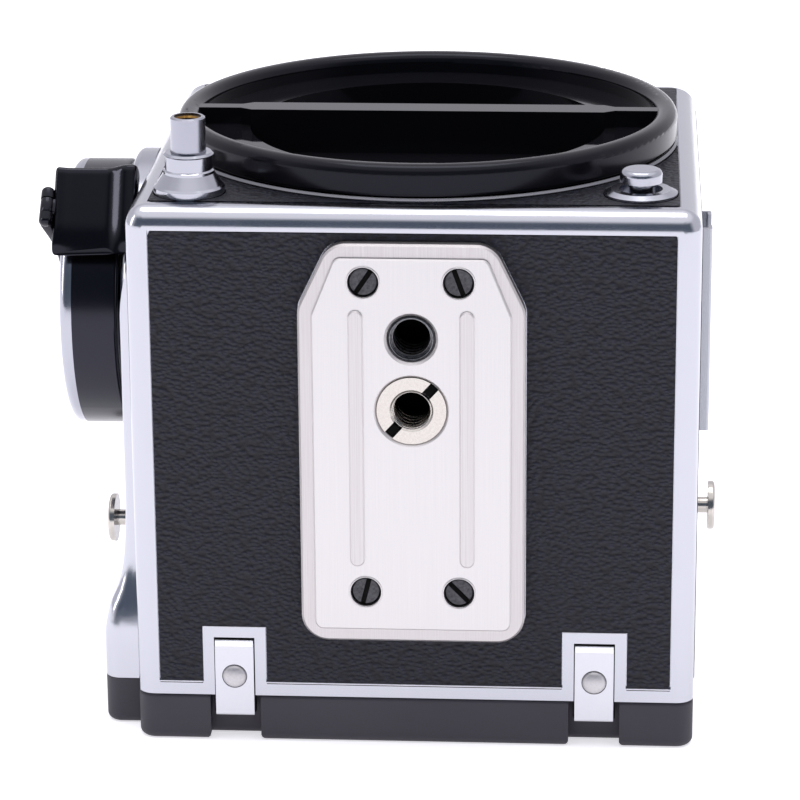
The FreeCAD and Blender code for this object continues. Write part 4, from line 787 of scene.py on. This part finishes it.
def makeFirstTurns(name, turns, z, finish):
    # the turns next to the mouth of a hole, each a closed bead on the lead
    for number, (radius, y) in enumerate(turns, 1):
        ring = startRing(name + "_first_turn_%d" % number, radius, holes["leadBead"], 8)
        alongY(ring, 0, y, z)
        finishPiece(ring, finish, "camera_body")


def makeTappedHoles():
    makeLead()
    makeFirstTurns("quarter_inch", holes["leadTurns"], holes["quarterZ"], threadSteel)
    makeFirstTurns("bush", holes["bushTurns"], holes["bushZ"], turnedNickel)
    makeCup("quarter_inch_cup", holes["quarterY"], holes["quarterZ"])
    makeCup("bush_cup", holes["bushCupY"], holes["bushZ"])
    makeRidge("quarter_inch_turns", holes["quarterY"], holes["quarterZ"], threadSteel)
    makeRidge("bush_turns", holes["bushY"], holes["bushZ"], turnedNickel)
    # painted shade: black bars fill the two slots of the bush below its face, where shade lies in
    # their depth
    for side in (-1, 1):
        slotShadeBox = startCube("bush_slot_grime" + ("_low" if side < 0 else "_high"),
                          (-holes["slotWide"] / 2, holes["slotY"], holes["slotFrom"] * side),
                          (holes["slotWide"] / 2, holes["slotEndY"], holes["slotTo"] * side))
        slotShadeBox.rotation_euler = (0, math.radians(90 + holes["slotTurnDeg"]), 0)
        slotShadeBox.location = metres(0, 0, holes["bushZ"])
        softenEdges(slotShadeBox, holes["slotRound"], 2)
        finishPiece(slotShadeBox, paintedShadeBlack, "camera_body")


makeTappedHoles()
print("stage: tapped holes")


# Rims of the screw seats in the plate: a rolled edge that catches the light at its lower side
seats = {"places": ((-6.44, 23.6), (6.44, 23.6), (-6.44, 68.1), (6.44, 68.1)), "faceY": -40.19,
         "rimR": 2.22, "beadR": 0.13}


def makeSeatRims():
    first = startRing("screw_seat_rim_1", seats["rimR"], seats["beadR"])
    alongY(first, 0, seats["faceY"], 0)
    applyPlace()
    # the ring itself is moved last, so that each copy starts from it unmoved
    for number, (x, z) in enumerate(seats["places"], 1):
        rim = first
        if number < len(seats["places"]):
            rim = first.copy()
            rim.data = first.data.copy()
            bpy.context.collection.objects.link(rim)
        rim.name = "screw_seat_rim_%d" % number
        rim.location = metres(x, 0, z)
        finishPiece(rim, brushedPlate, "camera_body")


makeSeatRims()


# Slots of the plate screws are filled with a black bar up to just below the head, as painted shade
# in the slot
screwSlotShade = {"half": 1.85, "wide": 0.72, "faceY": -39.865, "backY": -39.5, "round": 0.05,
        "turnsDeg": (-76.0, 46.0, -56.0, 70.0)}


def makeScrewSlotShade():
    for number, (x, z) in enumerate(seats["places"]):
        bar = startCube("screw_slot_dirt_%d" % (number + 1),
                        (-screwSlotShade["half"], screwSlotShade["faceY"], -screwSlotShade["wide"] / 2),
                        (screwSlotShade["half"], screwSlotShade["backY"], screwSlotShade["wide"] / 2))
        softenEdges(bar, screwSlotShade["round"], 2)
        bar.rotation_euler = (0, math.radians(screwSlotShade["turnsDeg"][number]), 0)
        bar.location = metres(x, 0, z)
        finishPiece(bar, paintedShadeBlack, "camera_body")


makeScrewSlotShade()


# Pockets of the cover hooks: a black sheet behind each hook, as painted shade in the gap, shows as
# a dark line round each hook
hookGapShade = {"middleX": 25.15, "half": 2.95, "low": 4.2, "high": 15.5, "faceY": -38.02,
            "backY": -37.0, "round": 0.25}

# Top of each hook: the sheet is folded over there, so its rounded edge catches the light as a
# bright bar, made brighter still by a painted highlight in its paler metal
hookRoll = {"middleX": 25.15, "half": 2.68, "low": 14.3, "high": 15.3, "faceY": -38.46,
            "backY": -37.4, "round": 0.1}


def makeHookBars(name, bar, segments, finish):
    for side, label in ((-1, "right"), (1, "left")):
        x = bar["middleX"] * side
        piece = startCube(name + label, (x - bar["half"], bar["faceY"], bar["low"]),
                          (x + bar["half"], bar["backY"], bar["high"]))
        softenEdges(piece, bar["round"], segments)
        finishPiece(piece, finish, "camera_body")


makeHookBars("hook_seal_", hookGapShade, 2, paintedShadeBlack)
makeHookBars("hook_roll_", hookRoll, 4, highlightNickel)


# Rivets: a low dome, spun from a ball and cut off at the sheet, ringed by a thin dark bead that is
# painted shade for a shallow punched groove
rivet = {"middleX": 25.15, "z": 9.9, "radius": 1.62, "high": 0.68, "sheetY": -38.4,
         "ringR": 1.7, "ringDeep": 0.06, "shank": 0.05}


def makeRivets():
    for side, label in ((-1, "right"), (1, "left")):
        x = rivet["middleX"] * side
        bpy.ops.object.select_all(action="DESELECT")
        bpy.ops.mesh.primitive_uv_sphere_add(segments=48, ring_count=24,
                                             radius=rivet["radius"] / 1000)
        dome = bpy.context.object
        dome.name = "hook_rivet_" + label
        bpy.ops.object.mode_set(mode="EDIT")
        bpy.ops.mesh.select_all(action="SELECT")
        bpy.ops.mesh.bisect(plane_co=(0, 0, 0), plane_no=(0, 0, 1), use_fill=True,
                            clear_outer=True)
        closeEdit()
        # the cut face goes down into the sheet as the start of the shank
        pick(dome, "FACE", lambda co, n: n.z > facing and co.length < nearMm)
        bpy.ops.mesh.extrude_region_move(TRANSFORM_OT_translate={
            "value": metres(0, 0, rivet["shank"])})
        closeEdit()
        dome.scale = (1.0, 1.0, rivet["high"] / rivet["radius"])
        alongY(dome, x, rivet["sheetY"], rivet["z"])
        finishPiece(dome, domeNickel, "camera_body", ["hook_rivets"], 50)
        # painted shade: a dark bead where the groove round the rivet lies in shadow
        ring = startRing("hook_rivet_ring_" + label, rivet["ringR"], rivet["ringDeep"], 8)
        alongY(ring, x, rivet["sheetY"], rivet["z"])
        finishPiece(ring, blackenedSteel, "camera_body")


makeRivets()


# Lower edge of the leather: a raised bead along the cast rim catches the light, and its paler
# metal adds a painted highlight; below it a black strip is a painted shadow line
lips = {"spans": ((-35.7, -29.65), (-20.65, 20.65), (29.65, 35.7)), "low": 8.62, "middle": 8.78,
        "high": 9.02, "faceY": -38.17, "shadowLineY": -38.03, "backY": -37.6, "round": 0.06,
        "topLow": 17.1, "topHigh": 17.27, "topHalf": 4.4, "hookX": 25.15}


def makeLips():
    bars = [(a, b, lips["middle"], lips["high"]) for a, b in lips["spans"]]
    for side in (-1, 1):
        x = lips["hookX"] * side
        bars.append((x - lips["topHalf"], x + lips["topHalf"], lips["topLow"], lips["topHigh"]))
    for number, (a, b, low, high) in enumerate(bars, 1):
        bar = startCube("leather_lip_%d" % number, (a, lips["faceY"], low),
                        (b, lips["backY"], high))
        softenEdges(bar, lips["round"], 2)
        finishPiece(bar, satinNickel, "camera_body")
    # painted shadow: a black strip under each bead
    for number, (a, b) in enumerate(lips["spans"], 1):
        line = startCube("leather_glue_line_%d" % number, (a, lips["shadowLineY"], lips["low"]),
                         (b, lips["backY"], lips["middle"]))
        softenEdges(line, lips["round"] / 2, 2)
        finishPiece(line, paintedShadeBlack, "camera_body")


makeLips()
print("stage: seat rims, slots, hooks, rivets and leather edges")


# Studio: a white paper sweep that runs up behind the camera body, a darker room on the side of
# the photographer, and a bright ceiling over both. Places and sizes here are in metres.
studio = {"cameraPlace": (0.02886, -0.50026, 0.20385), "lookAlong": (-0.0626, 0.9475, -0.3136),
          "rollRad": -0.007, "lensMm": 161.13, "sensorMm": 36.0, "nearest": 0.01,
          "floorSize": 6.0, "floorHex": "#F6F5F8", "floorRough": 0.9, "floorGlow": 0.62,
          "ceilingHex": "#F8F7FC", "ceilingStrength": 1.35, "ceilingEdge": 0.7,
          "edgeSoft": 0.09, "sweepHex": "#EDECF4", "roomHex": "#636D7C", "roomFrom": -0.35,
          "roomTo": 0.15, "sidePanels": 0.5}

lights = {
    "overhead_softbox": {"place": (0.0, 0.1, 1.1), "aim": (0, 0, 0.05), "size": (0.7, 0.5),
                         "watts": 3},
    # a strip that only draws the long highlights on the crank side
    "left_strip_softbox": {"place": (-0.75, -0.2, 0.33), "aim": (-0.03, 0, 0.06),
                           "size": (0.12, 0.5), "watts": 1.2,
                           "only": ["body_shell", "crank_rim", "crank_drum", "crank_boss",
                                    "crank_arm_blade", "crank_grip_saddle"]},
}


def makeFloor():
    # lit from below as well, like a light table, so that almost no shadow shows
    bpy.ops.object.select_all(action="DESELECT")
    bpy.ops.mesh.primitive_plane_add(size=studio["floorSize"], location=(0, 0, 0))
    floor = bpy.context.object
    floor.name = "studio_floor"
    look = {"Base Color": studio["floorHex"], "Roughness": studio["floorRough"],
            "Specular IOR Level": 0.0, "Emission Color": studio["floorHex"],
            "Emission Strength": studio["floorGlow"]}
    floor.data.materials.append(startMaterial("white_paper_sweep", look)[0])


def makeSurroundings():
    world = bpy.data.worlds.new("studio_surroundings")
    bpy.context.scene.world = world
    world.use_nodes = True
    tree = world.node_tree
    place = addNode(tree, "ShaderNodeTexCoord").outputs["Generated"]
    parts = addNode(tree, "ShaderNodeSeparateXYZ", links={"Vector": place})
    side = addNode(tree, "ShaderNodeMath", {"operation": "ABSOLUTE"}, {0: parts.outputs["X"]})
    reach = addNode(tree, "ShaderNodeMath", {"operation": "MULTIPLY_ADD",
                                             1: studio["sidePanels"]},
                    {0: side, 2: parts.outputs["Y"]})
    ahead = addNode(tree, "ShaderNodeMapRange", {"From Min": studio["roomFrom"],
                                                 "From Max": studio["roomTo"]},
                    {"Value": reach})
    walls = addNode(tree, "ShaderNodeMix",
                    {"data_type": "RGBA", mixFirst: linearColour(studio["roomHex"]),
                     mixSecond: linearColour(studio["sweepHex"])}, {"Factor": ahead})
    low, high = (studio["ceilingEdge"] + way * studio["edgeSoft"] for way in (-1, 1))
    above = addNode(tree, "ShaderNodeMapRange", {"From Min": low, "From Max": high},
                    {"Value": parts.outputs["Z"]})
    ceiling = tuple(c * studio["ceilingStrength"]
                    for c in linearColour(studio["ceilingHex"])[:3]) + (1.0,)
    sky = addNode(tree, "ShaderNodeMix", {"data_type": "RGBA", mixSecond: ceiling},
                  {"Factor": above, mixFirst: walls.outputs[mixResult]})
    wire(tree, tree.nodes["Background"], {"Color": sky.outputs[mixResult]})


def addSoftLight(name, light):
    lamp = bpy.data.lights.new(name, "AREA")
    lamp.shape = "RECTANGLE"
    lamp.size, lamp.size_y = light["size"]
    lamp.energy = light["watts"]
    holder = bpy.data.objects.new(name, lamp)
    bpy.context.collection.objects.link(holder)
    holder.location = light["place"]
    ahead = Vector(light["aim"]) - Vector(light["place"])
    holder.rotation_euler = ahead.to_track_quat("-Z", "Y").to_euler()
    if "only" in light:
        # a flag keeps this light off everything else, as a black card does in a studio
        lit = bpy.data.collections.new(name + "_lit")
        for piece in light["only"]:
            lit.objects.link(nodes[piece] if piece in nodes else bpy.data.objects[piece])
        holder.light_linking.receiver_collection = lit


def addCamera():
    ahead = Vector(studio["lookAlong"]).normalized()
    right = ahead.cross(Vector((0, 0, 1))).normalized()
    up = right.cross(ahead)
    c, s = math.cos(studio["rollRad"]), math.sin(studio["rollRad"])
    acrossWay = right * c + up * s
    upWay = up * c - right * s
    turn = Matrix((acrossWay, upWay, -ahead)).transposed().to_4x4()
    lens = bpy.data.cameras.new("photo_camera")
    lens.lens = studio["lensMm"]
    lens.sensor_width = studio["sensorMm"]
    lens.clip_start = studio["nearest"]
    camera = bpy.data.objects.new("photo_camera", lens)
    bpy.context.collection.objects.link(camera)
    camera.matrix_world = Matrix.Translation(studio["cameraPlace"]) @ turn
    bpy.context.scene.camera = camera


makeFloor()
makeSurroundings()
for name, light in lights.items():
    addSoftLight(name, light)
addCamera()
bpy.context.scene.view_settings.view_transform = "Standard"
print("stage: studio and camera")
